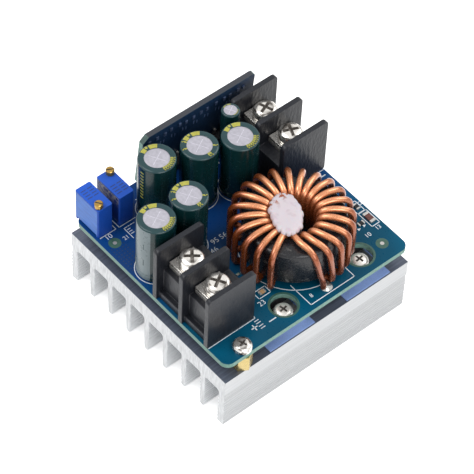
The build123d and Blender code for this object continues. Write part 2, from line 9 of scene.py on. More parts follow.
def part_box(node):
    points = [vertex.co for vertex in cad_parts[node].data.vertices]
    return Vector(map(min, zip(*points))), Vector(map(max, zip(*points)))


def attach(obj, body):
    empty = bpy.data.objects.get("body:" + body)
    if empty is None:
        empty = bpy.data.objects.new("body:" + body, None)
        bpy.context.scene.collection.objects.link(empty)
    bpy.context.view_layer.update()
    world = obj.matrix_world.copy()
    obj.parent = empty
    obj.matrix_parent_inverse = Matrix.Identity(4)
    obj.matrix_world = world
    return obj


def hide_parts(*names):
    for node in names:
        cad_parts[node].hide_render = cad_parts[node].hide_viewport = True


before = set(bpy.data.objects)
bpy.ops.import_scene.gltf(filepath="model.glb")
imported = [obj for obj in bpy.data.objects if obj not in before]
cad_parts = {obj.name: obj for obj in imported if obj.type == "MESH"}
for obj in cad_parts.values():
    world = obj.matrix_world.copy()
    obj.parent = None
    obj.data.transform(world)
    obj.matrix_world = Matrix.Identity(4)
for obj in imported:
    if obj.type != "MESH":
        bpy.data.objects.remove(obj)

bl_info = {
    "name": "Buck converter module",
    "version": (1, 0, 0),
    "blender": (4, 5, 0),
    "location": "3D Viewport > Sidebar > Module",
    "description": "Finishes of a step-down power module: heatsink, board, choke, capacitors and terminals",
    "category": "Object",
}

MM = 0.001
WHOLE_TURN = 2 * math.pi
WHITE = (1.0, 1.0, 1.0, 1.0)
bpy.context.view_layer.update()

# Plain finishes: colour and its share, roughness, metal, grain in mm, spread, relief in mm, gloss
PLAIN_FINISHES = {
    "white_print": ("print_white", 1.0, 0.6, 0.0, 0.3),
    "dim_print": ("pad", 0.5, 0.6, 0.0, 0.3),
    "dim_chip": ("pad", 0.24, 0.45, 0.0, 0.6, 0.5),
    "bare_laminate": ("ring", 1.0, 0.4, 0.0, 1.5, 0.2),
    "via_lacquer": ("mask_dark", 0.45, 0.35),
    "turned_brass": ("brass", 1.0, 0.28, 0.85, 0.4),
    "bright_nickel": ("nickel", 1.0, 0.32, 0.6, 0.9, 0.12, 0.04),
    # Painted shade: the faces of the screw recesses are painted darker than the plate
    "nickel_recess": ("nickel_deep", 1.0, 0.4, 0.4, 0.5, 0.5),
    "tinned_metal": ("tin", 1.0, 0.34, 0.8, 0.8, 0.12),
    "solder": ("tin", 1.0, 0.22, 0.85, 0.6),
    "pad_silicone": ("pad", 1.0, 0.6, 0.0, 0.4),
    "moulded_epoxy": ("epoxy", 1.0, 0.45, 0.0, 0.2, 0.15, 0.01, 0.3),
    "sleeve_rim": ("sleeve_rim", 1.0, 0.2, 0.0, 1.2, 0.05, 0.01, 0.4),
    "sleeve_band": ("sleeve_band", 1.0, 0.3, 0.0, 1.2, 0.04),
    "gold_print": ("gold", 1.0, 0.4, 0.2, 0.4, 0.15),
    "can_top": ("can", 0.88, 0.4, 0.4, 0.7, 0.1, 0.03),
    "can_score": ("can", 1.3, 0.35, 0.3),
    "trimmer_print": ("trimmer", 0.35, 0.5),
    "trimmer_brass": ("trimmer_brass", 1.0, 0.25, 0.85),
    "chip_ceramic": ("ceramic", 1.0, 0.45, 0.0, 0.3),
    "chip_resistor": ("resistor", 1.0, 0.35, 0.0, 0.4, 0.4),
}

# Sizes of the two kinds of plated screw, in millimetres; steps and fullness shape the dome
PAN_SCREW = {"shank": 1.45, "pitch": 0.5, "cut": 0.16, "neck": 0.1, "head": 2.55, "edge": 0.1, "wall": 0.75,
             "dome": 1.15, "steps": 8, "fullness": 0.55}
CLAMP_SCREW = {"shank": 1.7, "pitch": 0.6, "cut": 0.18, "neck": 0.2, "head": 3.3, "edge": 0.12, "wall": 1.0,
               "dome": 1.4, "steps": 9, "fullness": 0.45}

# Direction of each capacitor's grey band, in degrees
BAND_ANGLES = (-150.0, 150.0, 100.0, 170.0, -91.0)


def length(name, description, millimetres):
    return bpy.props.FloatProperty(name=name, description=description, default=millimetres * MM,
                                   min=0.0, unit="LENGTH", precision=5)


def bearing(name, description, degrees):
    return bpy.props.FloatProperty(name=name, description=description, default=math.radians(degrees),
                                   subtype="ANGLE")


def tint(name, description, red, green, blue):
    """A colour given as it looks on screen, from 0 to 255 a channel."""
    linear = [((c / 255 + 0.055) / 1.055) ** 2.4 if c > 10 else c / 255 / 12.92 for c in (red, green, blue)]
    return bpy.props.FloatVectorProperty(name=name, description=description, default=linear,
                                         min=0.0, max=1.0, subtype="COLOR")


class FinishColours(bpy.types.PropertyGroup):
    aluminium: tint("Aluminium", "Sawn ends and sides of the heatsink", 224, 226, 228)
    # Painted shade: darker and bluer than the sides, for the shade under the board
    aluminium_top_shade: tint("Aluminium top", "Drawn face that carries the board", 92, 99, 114)
    mask: tint("Solder mask", "Blue lacquer over copper", 0, 78, 106)
    mask_dark: tint("Dark solder mask", "Blue lacquer over bare laminate", 12, 60, 120)
    upright: tint("Upright board", "Dull blue lacquer of the control board", 30, 54, 84)
    laminate: tint("Laminate", "Cut edge of the boards", 118, 156, 144)
    ring: tint("Ring", "Bare laminate round the fiducials and the access holes", 54, 90, 78)
    print_white: tint("Print", "White outlines printed on the boards", 222, 228, 234)
    brass: tint("Brass", "Standoffs", 192, 172, 116)
    # Painted shade in the screw recesses and dark painted reflections on the plate; also the washers' dark
    # seams
    nickel_deep: tint("Deep nickel", "Recesses and undersides of the plated screws", 132, 126, 120)
    nickel: tint("Nickel", "Plated steel screws and washers", 232, 228, 222)
    tin: tint("Tin", "Pads, legs and contact plates", 190, 188, 184)
    pad: tint("Pad", "Thermal pads under the power devices", 138, 166, 222)
    epoxy: tint("Epoxy", "Moulded cases of the power devices and chips", 26, 27, 30)
    core: tint("Core", "Lacquered powder core of the choke", 26, 27, 31)
    copper: tint("Copper", "Enamelled winding wire", 216, 144, 100)
    # Painted shade: darker copper for the wire's bends and lower turns, and for the reddish shade at the back
    # of the plug
    copper_shade: tint("Deep copper", "Enamel where it lies thicker", 146, 74, 36)
    silicone: tint("Silicone", "Sealant in the bore of the choke", 197, 188, 194)
    silicone_shade: tint("Silicone shade", "Mauve grey hollows of the sealant", 189, 177, 184)
    sleeve: tint("Sleeve", "Shrink sleeve of the capacitors", 10, 42, 44)
    sleeve_rim: tint("Sleeve rim", "Sleeve over the can's edge", 28, 60, 64)
    sleeve_band: tint("Sleeve band", "Grey band that marks the negative side", 104, 118, 122)
    gold: tint("Gold print", "Marks printed on the sleeves", 168, 164, 70)
    can: tint("Can", "Aluminium top of the capacitors", 184, 182, 192)
    terminal: tint("Terminal", "Moulded barrier blocks", 30, 32, 38)
    trimmer: tint("Trimmer", "Moulded cases of the trimmers", 34, 84, 186)
    trimmer_side: tint("Trimmer side", "Trimmer case turned away from the light", 22, 72, 166)
    trimmer_face: tint("Trimmer face", "Paler long face of the front trimmer", 36, 102, 188)
    trimmer_sealant: tint("Trimmer sealant",
                          "Sealing resin in the open face of the rear trimmer", 14, 40, 104)
    trimmer_brass: tint("Trimmer screw", "Brass adjusting screws", 176, 142, 74)
    ceramic: tint("Ceramic", "Chip capacitors", 176, 140, 100)
    resistor: tint("Resistor", "Reddish brown chip part by the right edge", 92, 48, 40)


class ChokeSizes(bpy.types.PropertyGroup):
    wire_radius: length("Wire radius", "Radius of the winding wire with its enamel", 0.86)
    outer_reach: length("Outer reach", "Wire's middle outside the core, from the choke's axis", 15.1)
    inner_reach: length("Inner reach", "Wire's middle inside the bore, from the choke's axis", 6.35)
    arch: length("Arch", "How far the wire bows up between the core's edges", 0.35)
    turns: bpy.props.IntProperty(name="Turns", description="Turns of wire on the core", default=22, min=3)
    first_angle: bearing("First turn", "Direction of the first turn", -63.0)
    step: bearing("Step", "Angle from one turn to the next", 15.1)


class CapacitorSizes(bpy.types.PropertyGroup):
    shoulder: length("Shoulder", "Rounding of the sleeve over the can's top edge", 0.55)
    lip: length("Lip", "Radius of the bare can top inside the sleeve", 3.35)
    groove: length("Groove", "Depth of the crimp near the foot", 0.35)
    groove_height: length("Groove height", "Height of the crimp above the board", 2.2)
    disc_drop: length("Disc drop", "How far the can top lies under the sleeve's edge", 0.2)


class PrintSizes(bpy.types.PropertyGroup):
    line: length("Line", "Width of a printed line", 0.22)
    thickness: length("Thickness", "How far the print stands above the lacquer", 0.03)
    digit: length("Digit", "Height of a printed digit", 1.5)


class StageSettings(bpy.types.PropertyGroup):
    distance: length("Distance", "Camera distance from its target", 697.4)
    focal_share: bpy.props.FloatProperty(name="Focal share", default=2670.5 / 474, min=0.1,
                                         description="Focal length as a share of the picture's width")
    azimuth: bearing("Azimuth", "Camera direction round the module", 47.162)
    elevation: bearing("Elevation", "Camera height as an angle", 50.965)
    roll: bearing("Roll", "Turn of the camera about its own axis", 3.193)
    target: bpy.props.FloatVectorProperty(name="Target", description="Point that the camera looks at",
                                          default=(-4.778 * MM, 3.349 * MM, 15.0 * MM),
                                          subtype="TRANSLATION", unit="LENGTH")
    room_light: bpy.props.FloatProperty(name="Room light", description="Strength of the even light",
                                        default=0.5, min=0.0)


def sized(settings, *names):
    """Settings in millimetres."""
    return [getattr(settings, name) / MM for name in names]


def tone(name, share=1.0):
    """A colour of the settings, made darker or paler by a share."""
    return tuple(channel * share for channel in getattr(bpy.context.scene.module_colours, name))


# Meshes, in millimetres


def new_object(name, data):
    piece = bpy.data.objects.new(name, data)
    bpy.context.scene.collection.objects.link(piece)
    return piece


def shaped_mesh(piece):
    """The mesh that an object's curve, text or modifiers give. The object itself goes."""
    bpy.context.view_layer.update()
    mesh = bpy.data.meshes.new_from_object(piece.evaluated_get(bpy.context.evaluated_depsgraph_get()))
    bpy.data.objects.remove(piece)
    return mesh


def ring_points(centre, radius, height, steps, start=0.0):
    angles = [start + WHOLE_TURN * index / steps for index in range(steps)]
    return [centre + Vector((radius * math.cos(angle), radius * math.sin(angle), height)) for angle in angles]


def rounded(corners, steps=4):
    """Points of an outline whose corners are (x, y) or (x, y, radius of the rounding)."""
    points = []
    for index, corner in enumerate(corners):
        here = Vector(corner[:2])
        if len(corner) < 3:
            points.append(tuple(here))
            continue
        before = (Vector(corners[index - 1][:2]) - here).normalized()
        after = (Vector(corners[(index + 1) % len(corners)][:2]) - here).normalized()
        half = before.angle(after) / 2
        reach = corner[2] / math.tan(half)
        hub = here + (before + after).normalized() * corner[2] / math.sin(half)
        first = (here + before * reach - hub).normalized()
        last = (here + after * reach - hub).normalized()
        points += [tuple(hub + first.slerp(last, step / steps) * corner[2]) for step in range(steps + 1)]
    return points


class Shape:
    """Points and faces of one piece. Each face names its finish by number."""

    def __init__(self):
        self.points = []
        self.faces = []
        self.finishes = []

    def add(self, points, faces, finish=0):
        """The finish is one number, or a list with one for each face."""
        first = len(self.points)
        self.points += [Vector(point) for point in points]
        self.faces += [[first + index for index in face] for face in faces]
        self.finishes += finish if isinstance(finish, list) else [finish] * len(faces)

    def lathe(self, centre, profile, steps=48, finish=lambda segment, step: 0, start=0.0):
        """Turns (radius, height) pairs round the vertical line through the centre."""
        rings = []
        for radius, height in profile:
            count = steps if radius > 1e-6 else 1
            rings.append([len(self.points) + index for index in range(count)])
            self.points += ring_points(Vector(centre), radius, height, count, start)
        for segment, (low, high) in enumerate(zip(rings, rings[1:])):
            for step in range(steps):
                after = (step + 1) % steps
                corners = [low[step % len(low)], low[after % len(low)],
                           high[after % len(high)], high[step % len(high)]]
                face = [c for n, c in enumerate(corners) if c not in corners[:n]]
                if len(face) > 2:
                    self.faces.append(face)
                    self.finishes.append(finish(segment, step))

    def disc(self, centre, radius, rise, steps, finish=0):
        self.lathe(centre, [(0, rise), (radius, rise), (radius, 0)], steps, lambda segment, step: finish)

    def loft(self, lower, upper, finish=0):
        """Joins two outlines that have the same number of points."""
        count = len(lower)
        faces = [list(range(count))[::-1], list(range(count, 2 * count))]
        faces += [[i, (i + 1) % count, count + (i + 1) % count, count + i] for i in range(count)]
        self.add(lower + upper, faces, finish)

    def prism(self, outline, low, high, finish=0, place=Matrix.Identity(4)):
        """Raises a flat outline from one height to another."""
        lower, upper = ([place @ Vector((x, y, level)) for x, y in outline] for level in (low, high))
        self.loft(lower, upper, finish)

    def box(self, low, high, finish=0, place=Matrix.Identity(4)):
        outline = [(low[0], low[1]), (high[0], low[1]), (high[0], high[1]), (low[0], high[1])]
        self.prism(outline, low[2], high[2], finish, place)

    def line(self, start, end, width, low, high, finish=0):
        start, end = Vector(start), Vector(end)
        along = (end - start).normalized() * width / 2
        side = Vector((-along.y, along.x))
        self.prism([start - along - side, end + along - side, end + along + side, start - along + side],
                   low, high, finish)

    def band(self, centre, inner, outer, low, high, start, end, finish=0, steps=24):
        """A flat arc, or a whole ring, that stands on a level."""
        whole = abs(end - start) > 6.28
        count = steps if whole else steps + 1
        points = []
        faces = []
        for index in range(count):
            angle = start + (end - start) * index / steps
            across, along = math.cos(angle), math.sin(angle)
            for radius, height in ((inner, low), (outer, low), (outer, high), (inner, high)):
                points.append((centre[0] + radius * across, centre[1] + radius * along, height))
        for index in range(steps):
            a, b = 4 * index, 4 * ((index + 1) % count)
            faces += [[a + side, b + side, b + (side + 1) % 4, a + (side + 1) % 4] for side in range(4)]
        if not whole:
            last = 4 * steps
            faces += [[0, 3, 2, 1], [last, last + 1, last + 2, last + 3]]
        self.add(points, faces, finish)

    def mesh(self, mesh, place=Matrix.Identity(4)):
        """Takes in another mesh, whose points are in metres, with its finishes."""
        self.add([place @ (v.co / MM) for v in mesh.vertices], [list(p.vertices) for p in mesh.polygons],
                 [p.material_index for p in mesh.polygons])

    def raw(self, name, finishes):
        mesh = bpy.data.meshes.new(name)
        mesh.from_pydata([point * MM for point in self.points], [], self.faces)
        for kind in finishes:
            mesh.materials.append(finish(kind))
        mesh.polygons.foreach_set("material_index", self.finishes)
        return new_object(name, mesh)

    def build(self, name, finishes, body="root", stands_for=(), smooth=35.0):
        piece = self.raw(name, finishes)
        mesh = piece.data
        shape = bmesh.new()
        shape.from_mesh(mesh)
        bmesh.ops.recalc_face_normals(shape, faces=shape.faces)
        shape.to_mesh(mesh)
        shape.free()
        mesh.polygons.foreach_set("use_smooth", [True] * len(mesh.polygons))
        mesh.set_sharp_from_angle(angle=math.radians(smooth))
        mesh.update()
        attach(piece, body)
        if stands_for:
            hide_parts(*stands_for)
        return piece


def welded(piece, distance):
    weld = piece.modifiers.new("weld", "WELD")
    weld.merge_threshold = distance * MM


def soften(piece, width, segments=2):
    """Rounds the sharp edges a little, as moulding, tumbling or milling leaves them."""
    welded(piece, 0.002)
    flat = piece.modifiers.new("flat", "DECIMATE")
    flat.decimate_type = "DISSOLVE"
    flat.angle_limit = math.radians(0.3)
    bevel = piece.modifiers.new("edges", "BEVEL")
    bevel.width = width * MM
    bevel.segments = segments
    bevel.limit_method = "ANGLE"
    bevel.angle_limit = math.radians(30.0)
    bevel.use_clamp_overlap = False
    bevel.harden_normals = True


def dress(node, kind, width=0.0, segments=2):
    """Gives a node of the frame its finish and rounds its edges."""
    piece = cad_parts[node]
    for place in piece.material_slots:
        place.material = finish(kind)
    if width:
        soften(piece, width, segments)


def corners(node):
    low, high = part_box(node)
    return low / MM, high / MM


def middle(node):
    low, high = corners(node)
    return (low + high) / 2


def loose_places(node):
    """Middles of the loose parts of a node, as (x, y) pairs in order of y."""
    shape = bmesh.new()
    shape.from_mesh(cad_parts[node].data)
    bmesh.ops.remove_doubles(shape, verts=shape.verts, dist=0.002 * MM)
    left = set(shape.verts)
    middles = []
    while left:
        grown = [left.pop()]
        spots = []
        while grown:
            vert = grown.pop()
            spots.append(vert.co / MM)
            near = {edge.other_vert(vert) for edge in vert.link_edges} & left
            left -= near
            grown += near
        xs, ys = [spot.x for spot in spots], [spot.y for spot in spots]
        middles.append(((min(xs) + max(xs)) / 2, (min(ys) + max(ys)) / 2))
    shape.free()
    return sorted(middles, key=lambda place: place[1])


def digits_mesh(text, height):
    curve = bpy.data.curves.new("digits", "FONT")
    curve.body = text
    curve.size = height * MM / 0.7
    curve.align_x = "CENTER"
    curve.align_y = "CENTER"
    curve.extrude = 0.012 * MM
    curve.resolution_u = 3
    return shaped_mesh(new_object("digits", curve))


# Finishes


class Nodes:
    """Adds nodes to a tree and joins them."""

    def __init__(self, tree):
        self.tree = tree

    def feed(self, socket, value):
        """Links a source to a socket, or sets a fixed value there."""
        if isinstance(value, bpy.types.NodeSocket):
            self.tree.links.new(value, socket)
        else:
            socket.default_value = value

    def node(self, kind, inputs, **settings):
        node = self.tree.nodes.new("ShaderNode" + kind)
        for name, value in settings.items():
            setattr(node, name, value)
        for socket, value in inputs.items():
            self.feed(node.inputs[socket], value)
        return node

    def number(self, operation, *values):
        return self.node("Math", dict(enumerate(values)), operation=operation).outputs["Value"]

    def vector(self, operation, *values, result="Vector"):
        return self.node("VectorMath", dict(enumerate(values)), operation=operation).outputs[result]

    def rays(self, *kinds):
        """1 for rays of the given kinds."""
        path = self.node("LightPath", {})
        seen = path.outputs[kinds[0]]
        for kind in kinds[1:]:
            seen = self.number("MAXIMUM", seen, path.outputs[kind])
        return seen


class Finish(Nodes):
    """A material and the nodes that make its pattern."""

    def __init__(self, name, colour, roughness, metallic=0.0, gloss=0.5):
        self.material = bpy.data.materials.new(name)
        self.material.use_nodes = True
        super().__init__(self.material.node_tree)
        self.shader = self.tree.nodes["Principled BSDF"]
        self.set({"Base Color": (*colour, 1.0), "Roughness": roughness, "Metallic": metallic,
                  "Specular IOR Level": gloss})

    def set(self, values):
        for socket, value in values.items():
            self.feed(self.shader.inputs[socket], value)

    def colour(self, source):
        self.set({"Base Color": source})

    def vary_roughness(self, source, low, high):
        self.set({"Roughness": self.range(source, 0.3, 0.7, low, high)})

    def bump(self, source, height, strength):
        bump = self.node("Bump", {"Distance": height * MM, "Strength": strength, "Height": source})
        self.set({"Normal": bump.outputs["Normal"]})

    def where(self):
        return self.node("TexCoord", {}).outputs["Object"]

    def normal(self):
        return self.node("NewGeometry", {}).outputs["Normal"]

    def axis(self, source, name):
        return self.node("SeparateXYZ", {"Vector": source}).outputs[name]

    def range(self, source, low, high, new_low=0.0, new_high=1.0):
        limits = {"Value": source, "From Min": low, "From Max": high, "To Min": new_low, "To Max": new_high}
        return self.node("MapRange", limits).outputs["Result"]

    def mix(self, factor, first, second):
        node = self.node("Mix", {}, data_type="RGBA")
        self.feed(node.inputs["Factor"], factor)
        sockets = [socket for socket in node.inputs if socket.type == "RGBA"]
        for socket, value in zip(sockets, (first, second)):
            self.feed(socket, value if isinstance(value, bpy.types.NodeSocket) else (*value, 1.0))
        return [socket for socket in node.outputs if socket.type == "RGBA"][0]

    def shades(self, source, low, high, colour, dark, pale):
        """Two shades of a colour, across a stretch of a pattern."""
        return self.mix(self.range(source, low, high), tone(colour, dark), tone(colour, pale))

    def patches(self, scale, detail, place):
        return self.node("TexNoise", {"Scale": scale, "Detail": detail, "Vector": place}).outputs["Fac"]

    def noise(self, grain, detail=3.0, stretch=(1, 1, 1)):
        """Noise whose features are about the given number of millimetres."""
        place = self.node("Mapping", {"Scale": stretch, "Vector": self.where()})
        return self.patches(1 / (grain * MM), detail, place.outputs["Vector"])

    def level(self, axis, low, high):
        """How squarely a surface faces along an axis of the module, from 0 to 1, either way."""
        return self.range(self.number("ABSOLUTE", self.axis(self.normal(), axis)), low, high)

    def facing(self, axis, way):
        """1 where a surface faces one way along an axis of the module, 0 where it doesn't."""
        return self.range(self.axis(self.normal(), axis), 0.6 * way, 0.9 * way)

    def along(self, axis, low, high):
        """From 0 to 1 between two places along an axis of the module, in millimetres."""
        return self.range(self.axis(self.where(), axis), low * MM, high * MM)

    def reach(self, centre, low, high):
        """From 0 to 1 between two distances from an upright axis, in millimetres."""
        apart = self.vector("SUBTRACT", self.where(), (centre.x * MM, centre.y * MM, 0.0))
        flat = self.vector("MULTIPLY", apart, (1.0, 1.0, 0.0))
        return self.range(self.vector("LENGTH", flat, result="Value"), low * MM, high * MM)

    def stripes(self, pitch):
        """Fine level lines: 0 in the grooves, 1 on the ribs."""
        turned = self.number("MULTIPLY", self.axis(self.where(), "Z"), WHOLE_TURN / (pitch * MM))
        return self.range(self.number("SINE", turned), -0.9, 0.1)

    def glints(self, scale):
        """Bright and dark patches that follow the way a polished surface faces."""
        turned = self.vector("MULTIPLY", self.normal(), (scale, scale, scale))
        drift = (130.0, 130.0, 130.0)
        moved = self.vector("MULTIPLY_ADD", self.where(), drift, turned)
        return self.patches(1.0, 1.0, moved)


made = {}


def finish(kind):
    """The material of a plain finish, by its name, or of one that has its own function."""
    if kind not in made:
        look = plain(kind, *PLAIN_FINISHES[kind]) if kind in PLAIN_FINISHES else kind()
        made[kind] = look.material
    return made[kind]


def plain(name, colour, share, roughness, metallic=0.0, grain=0.5, spread=0.08, height=0.01, gloss=0.5):
    """Even colour with a faint mottle, a varied gloss and a fine relief."""
    look = Finish(name, tone(colour, share), roughness, metallic, gloss)
    mottle = look.noise(grain)
    look.colour(look.shades(mottle, 0.3, 0.7, colour, share * (1 - spread), share * (1 + spread)))
    look.vary_roughness(mottle, roughness * 0.85, roughness * 1.15)
    look.bump(mottle, height, 0.5)
    return look


def aluminium():
    """Drawn lines run along the extrusion, and the sawn ends are paler and matt."""
    look = Finish("extruded_aluminium", tone("aluminium"), 0.42, 0.25)
    streaks = look.noise(0.5, 4.0, (1, 0.02, 1))
    sawn = look.noise(0.35, 4.0, (1, 1, 0.15))
    # Painted shade: thin dark lines on the lower sides stand for the shade in the grooves between the ribs
    lines = look.mix(look.along("Z", 12.7, 12.8), look.stripes(0.4), WHITE[:3])
    outer = look.mix(lines, tone("aluminium", 0.48), look.shades(streaks, 0.35, 0.65, "aluminium", 0.68, 0.8))
    # Painted light: the faces between the fins are painted brighter than the outer side, with paler rib lines
    channel = look.mix(lines, tone("aluminium", 0.72), tone("aluminium", 1.2))
    side = look.mix(look.along("X", 29.5, 30.0), channel, outer)
    # Painted shade: faces that look up or down are darker and bluer than the sides, for the shade under the
    # board
    upper = look.shades(streaks, 0.3, 0.7, "aluminium_top_shade", 0.75, 1.2)
    end = look.shades(sawn, 0.35, 0.65, "aluminium", 0.7, 0.92)
    faces = look.mix(look.level("Z", 0.6, 0.8), side, upper)
    look.colour(look.mix(look.level("Y", 0.6, 0.8), faces, end))
    look.vary_roughness(streaks, 0.34, 0.5)
    look.bump(streaks, 0.02, 0.35)
    return look


def lacquered_board():
    """Blue lacquer on the faces, pale glass fibre on the cut edges."""
    look = Finish("blue_lacquer", tone("mask"), 0.32, gloss=0.15)
    pour = look.noise(14.0, 1.0)
    weave = look.noise(0.6, 2.0)
    left = look.shades(pour, 0.42, 0.58, "mask_dark", 0.9, 1.1)
    right = look.shades(pour, 0.42, 0.58, "mask", 0.8, 1.0)
    face = look.mix(look.along("X", -6.0, 16.0), left, right)
    fibre = look.shades(weave, 0.4, 0.6, "laminate", 0.85, 1.05)
    # Painted shade: the edge that faces the front is painted darker than the other cut edges
    fibre = look.mix(look.facing("Y", -1), fibre, tone("laminate", 0.78))
    look.colour(look.mix(look.level("Z", 0.4, 0.6), fibre, face))
    look.vary_roughness(weave, 0.26, 0.38)
    look.bump(weave, 0.01, 0.2)
    return look


def upright_lacquer():
    """The same lacquer, duller, on the upright board, whose faces look sideways; its top edge is dark."""
    look = Finish("upright_lacquer", tone("mask_dark"), 0.35, gloss=0.15)
    weave = look.noise(0.6, 2.0)
    fibre = look.shades(weave, 0.4, 0.6, "laminate", 0.8, 1.05)
    edge = look.mix(look.level("Z", 0.0, 1.0), fibre, tone("epoxy", 5.0))
    face = look.shades(weave, 0.3, 0.7, "upright", 0.7, 1.15)
    look.colour(look.mix(look.level("X", 0.6, 0.8), edge, face))
    return look


def nickel():
    """Polished plate with bright and dark glints."""
    look = Finish("nickel_plate", tone("nickel"), 0.16, 0.85)
    glints = look.range(look.glints(1.6), 0.36, 0.52)
    look.colour(look.mix(glints, tone("nickel_deep", 0.55), tone("nickel")))
    look.vary_roughness(look.noise(1.1), 0.12, 0.26)
    look.bump(look.noise(0.8), 0.05, 0.5)
    return look


def folded_nickel():
    """Plated washers with dark seams on their sides."""
    look = Finish("folded_nickel", tone("nickel"), 0.22, 0.8)
    seams = look.range(look.stripes(0.62), 0.3, 0.7)
    sides = look.mix(seams, tone("nickel_deep", 0.2), tone("nickel", 0.9))
    look.colour(look.mix(look.level("Z", 0.5, 0.8), sides, tone("nickel")))
    look.vary_roughness(look.noise(0.9), 0.16, 0.3)
    return look


def core_lacquer():
    """Black lacquer over pressed powder: pitted, glossy, and scuffed grey here and there."""
    look = Finish("core_lacquer", tone("core"), 0.3, gloss=0.4)
    pits = look.noise(0.55, 5.0)
    scuffs = look.range(look.noise(2.2, 4.0), 0.6, 0.78)
    look.colour(look.mix(scuffs, tone("core"), tone("tin", 0.25)))
    look.vary_roughness(pits, 0.12, 0.34)
    look.bump(pits, 0.12, 0.6)
    return look


def copper():
    """Enamelled copper: a painted highlight over the core, painted shade at the bends and low down."""
    look = Finish("copper_enamel", tone("copper"), 0.3, 0.6)
    core = middle("toroid_core")
    # Painted highlight in the middle of each turn, painted shade towards the outer bends, the bore and the
    # board
    outward = look.mix(look.reach(core, 12.2, 15.0), tone("copper"), tone("copper_shade"))
    inward = look.mix(look.reach(core, 5.4, 7.4), tone("copper_shade"), outward)
    look.colour(look.mix(look.along("Z", 27.0, 34.5), tone("copper_shade", 0.9), inward))
    look.vary_roughness(look.noise(0.4), 0.2, 0.3)
    look.set({"Coat Weight": 0.6, "Coat Roughness": 0.08})
    return look


def silicone():
    """White sealant with painted mauve shade in its hollows and painted reddish shade at the back."""
    look = Finish("white_silicone", tone("silicone"), 0.45)
    # Painted shade: mauve grey patches where the bead's hollows would lie in shade
    hollow_shade = look.range(look.noise(2.0), 0.34, 0.46)
    bead = look.mix(hollow_shade, tone("silicone_shade"), tone("silicone"))
    # Painted shade: reddish copper-coloured patches at the back of the bead
    back_shade = look.mix(look.range(look.noise(1.1, 2.0), 0.38, 0.46), tone("copper_shade"), bead)
    look.colour(look.mix(look.along("X", 9.2, 7.2), bead, back_shade))
    look.bump(look.noise(1.6), 0.1, 0.3)
    look.set({"Subsurface Weight": 0.2, "Subsurface Scale": 0.001})
    return look


def sleeve():
    look = plain("sleeve_green", "sleeve", 1.0, 0.24, grain=1.2, gloss=0.25)
    look.set({"Coat Weight": 0.3, "Coat Roughness": 0.1})
    return look


def terminal_plastic():
    look = plain("terminal_plastic", "terminal", 1.0, 0.34, grain=0.25, spread=0.12, gloss=0.3)
    look.bump(look.noise(0.8, 3.0, (1, 1, 0.4)), 0.18, 0.65)
    return look


def trimmer_plastic():
    """Bright on top, with painted shade on the sides."""
    look = Finish("trimmer_plastic", tone("trimmer"), 0.4, gloss=0.25)
    sides = look.shades(look.noise(0.4), 0.3, 0.7, "trimmer_side", 0.9, 1.1)
    look.colour(look.mix(look.facing("Z", 1), sides, tone("trimmer")))
    return look


def trimmer_face():
    """Pale blue face with faint drawn lines."""
    look = Finish("trimmer_face", tone("trimmer_face"), 0.45)
    lines = look.noise(0.5, 3.0, (0.15, 1, 1))
    look.colour(look.shades(lines, 0.35, 0.65, "trimmer_face", 0.82, 1.05))
    return look


def trimmer_sealant():
    """Wavy resin, greyer towards the top."""
    look = Finish("trimmer_sealant", tone("trimmer_sealant"), 0.4, gloss=0.2)
    resin = tone("trimmer_sealant")
    upper = look.mix(look.along("Z", 31.0, 35.0), resin, tone("tin", 0.5))
    look.colour(look.mix(look.range(look.noise(0.9, 4.0), 0.42, 0.56), resin, upper))
    look.bump(look.noise(1.2), 0.05, 0.5)
    return look


# Screws: a domed head, a shank with a fine thread, and a recess cut into the top


def screw_profile(low, high, shank, pitch, cut, neck, head, edge, wall, dome, steps, fullness):
    """Outline of a screw, from its tip up the thread to the top of its head."""
    under = high - (wall + dome)
    profile = [(0, low)]
    for turn in range(int((under - neck - low) / pitch)):
        base = low + turn * pitch
        profile += [(shank - cut, base), (shank, base + pitch / 2)]
    profile += [(shank - cut, under - neck), (shank, under), (head - edge, under), (head, under + edge),
                (head, under + wall)]
    for step in range(1, steps + 1):
        angle = math.pi / 2 * step / steps
        radius = head * math.cos(angle) ** fullness if step < steps else 0
        profile.append((radius, under + wall + dome * math.sin(angle)))
    return profile


def recess_cutter(angle, half, width, depth, top):
    """One arm of a recess, narrower at its floor."""
    turned = Matrix.Rotation(angle, 4, "Z")
    outline = [(-half, -width / 2), (half, -width / 2), (half, width / 2), (-half, width / 2)]
    shape = Shape()
    shape.loft([turned @ Vector((x * 0.55, y * 0.5, top - depth)) for x, y in outline],
               [turned @ Vector((x, y, top + 1.0)) for x, y in outline], 1)
    return shape


def cross_arms(reach, turn):
    return [(turn, reach), (turn + math.pi / 2, reach)]


def turned_screw(name, node, plate, places, profile, arms, width, depth, body="root", steps=40):
    """Turns a screw, cuts the arms of its recess and sets one at each place."""
    # The recess faces take the darker finish, as painted shade
    finishes = (plate, "nickel_recess")
    blank = Shape()
    blank.lathe((0, 0, 0), profile, steps)
    solid = blank.raw("screw_blank", finishes)
    top = corners(node)[1].z
    cutters = [recess_cutter(*arm, width, depth, top).raw("screw_cutter", finishes) for arm in arms]
    for cutter in cutters:
        cut = solid.modifiers.new("recess", "BOOLEAN")
        cut.operation = "DIFFERENCE"
        cut.object = cutter
        cut.solver = "EXACT"
    mesh = shaped_mesh(solid)
    for cutter in cutters:
        bpy.data.objects.remove(cutter)
    shape = Shape()
    for x, y in places:
        shape.mesh(mesh, Matrix.Translation((x, y, 0)))
    shape.build(name, finishes, body, (node,))


# Operators, one for each piece or group of like pieces


class MODULE_OT_heatsink(bpy.types.Operator):
    """Finish the extruded heatsink"""
    bl_idname = "module.heatsink"
    bl_label = "Heatsink"

    def execute(self, context):
        dress("heatsink", aluminium, 0.12)
        return {"FINISHED"}


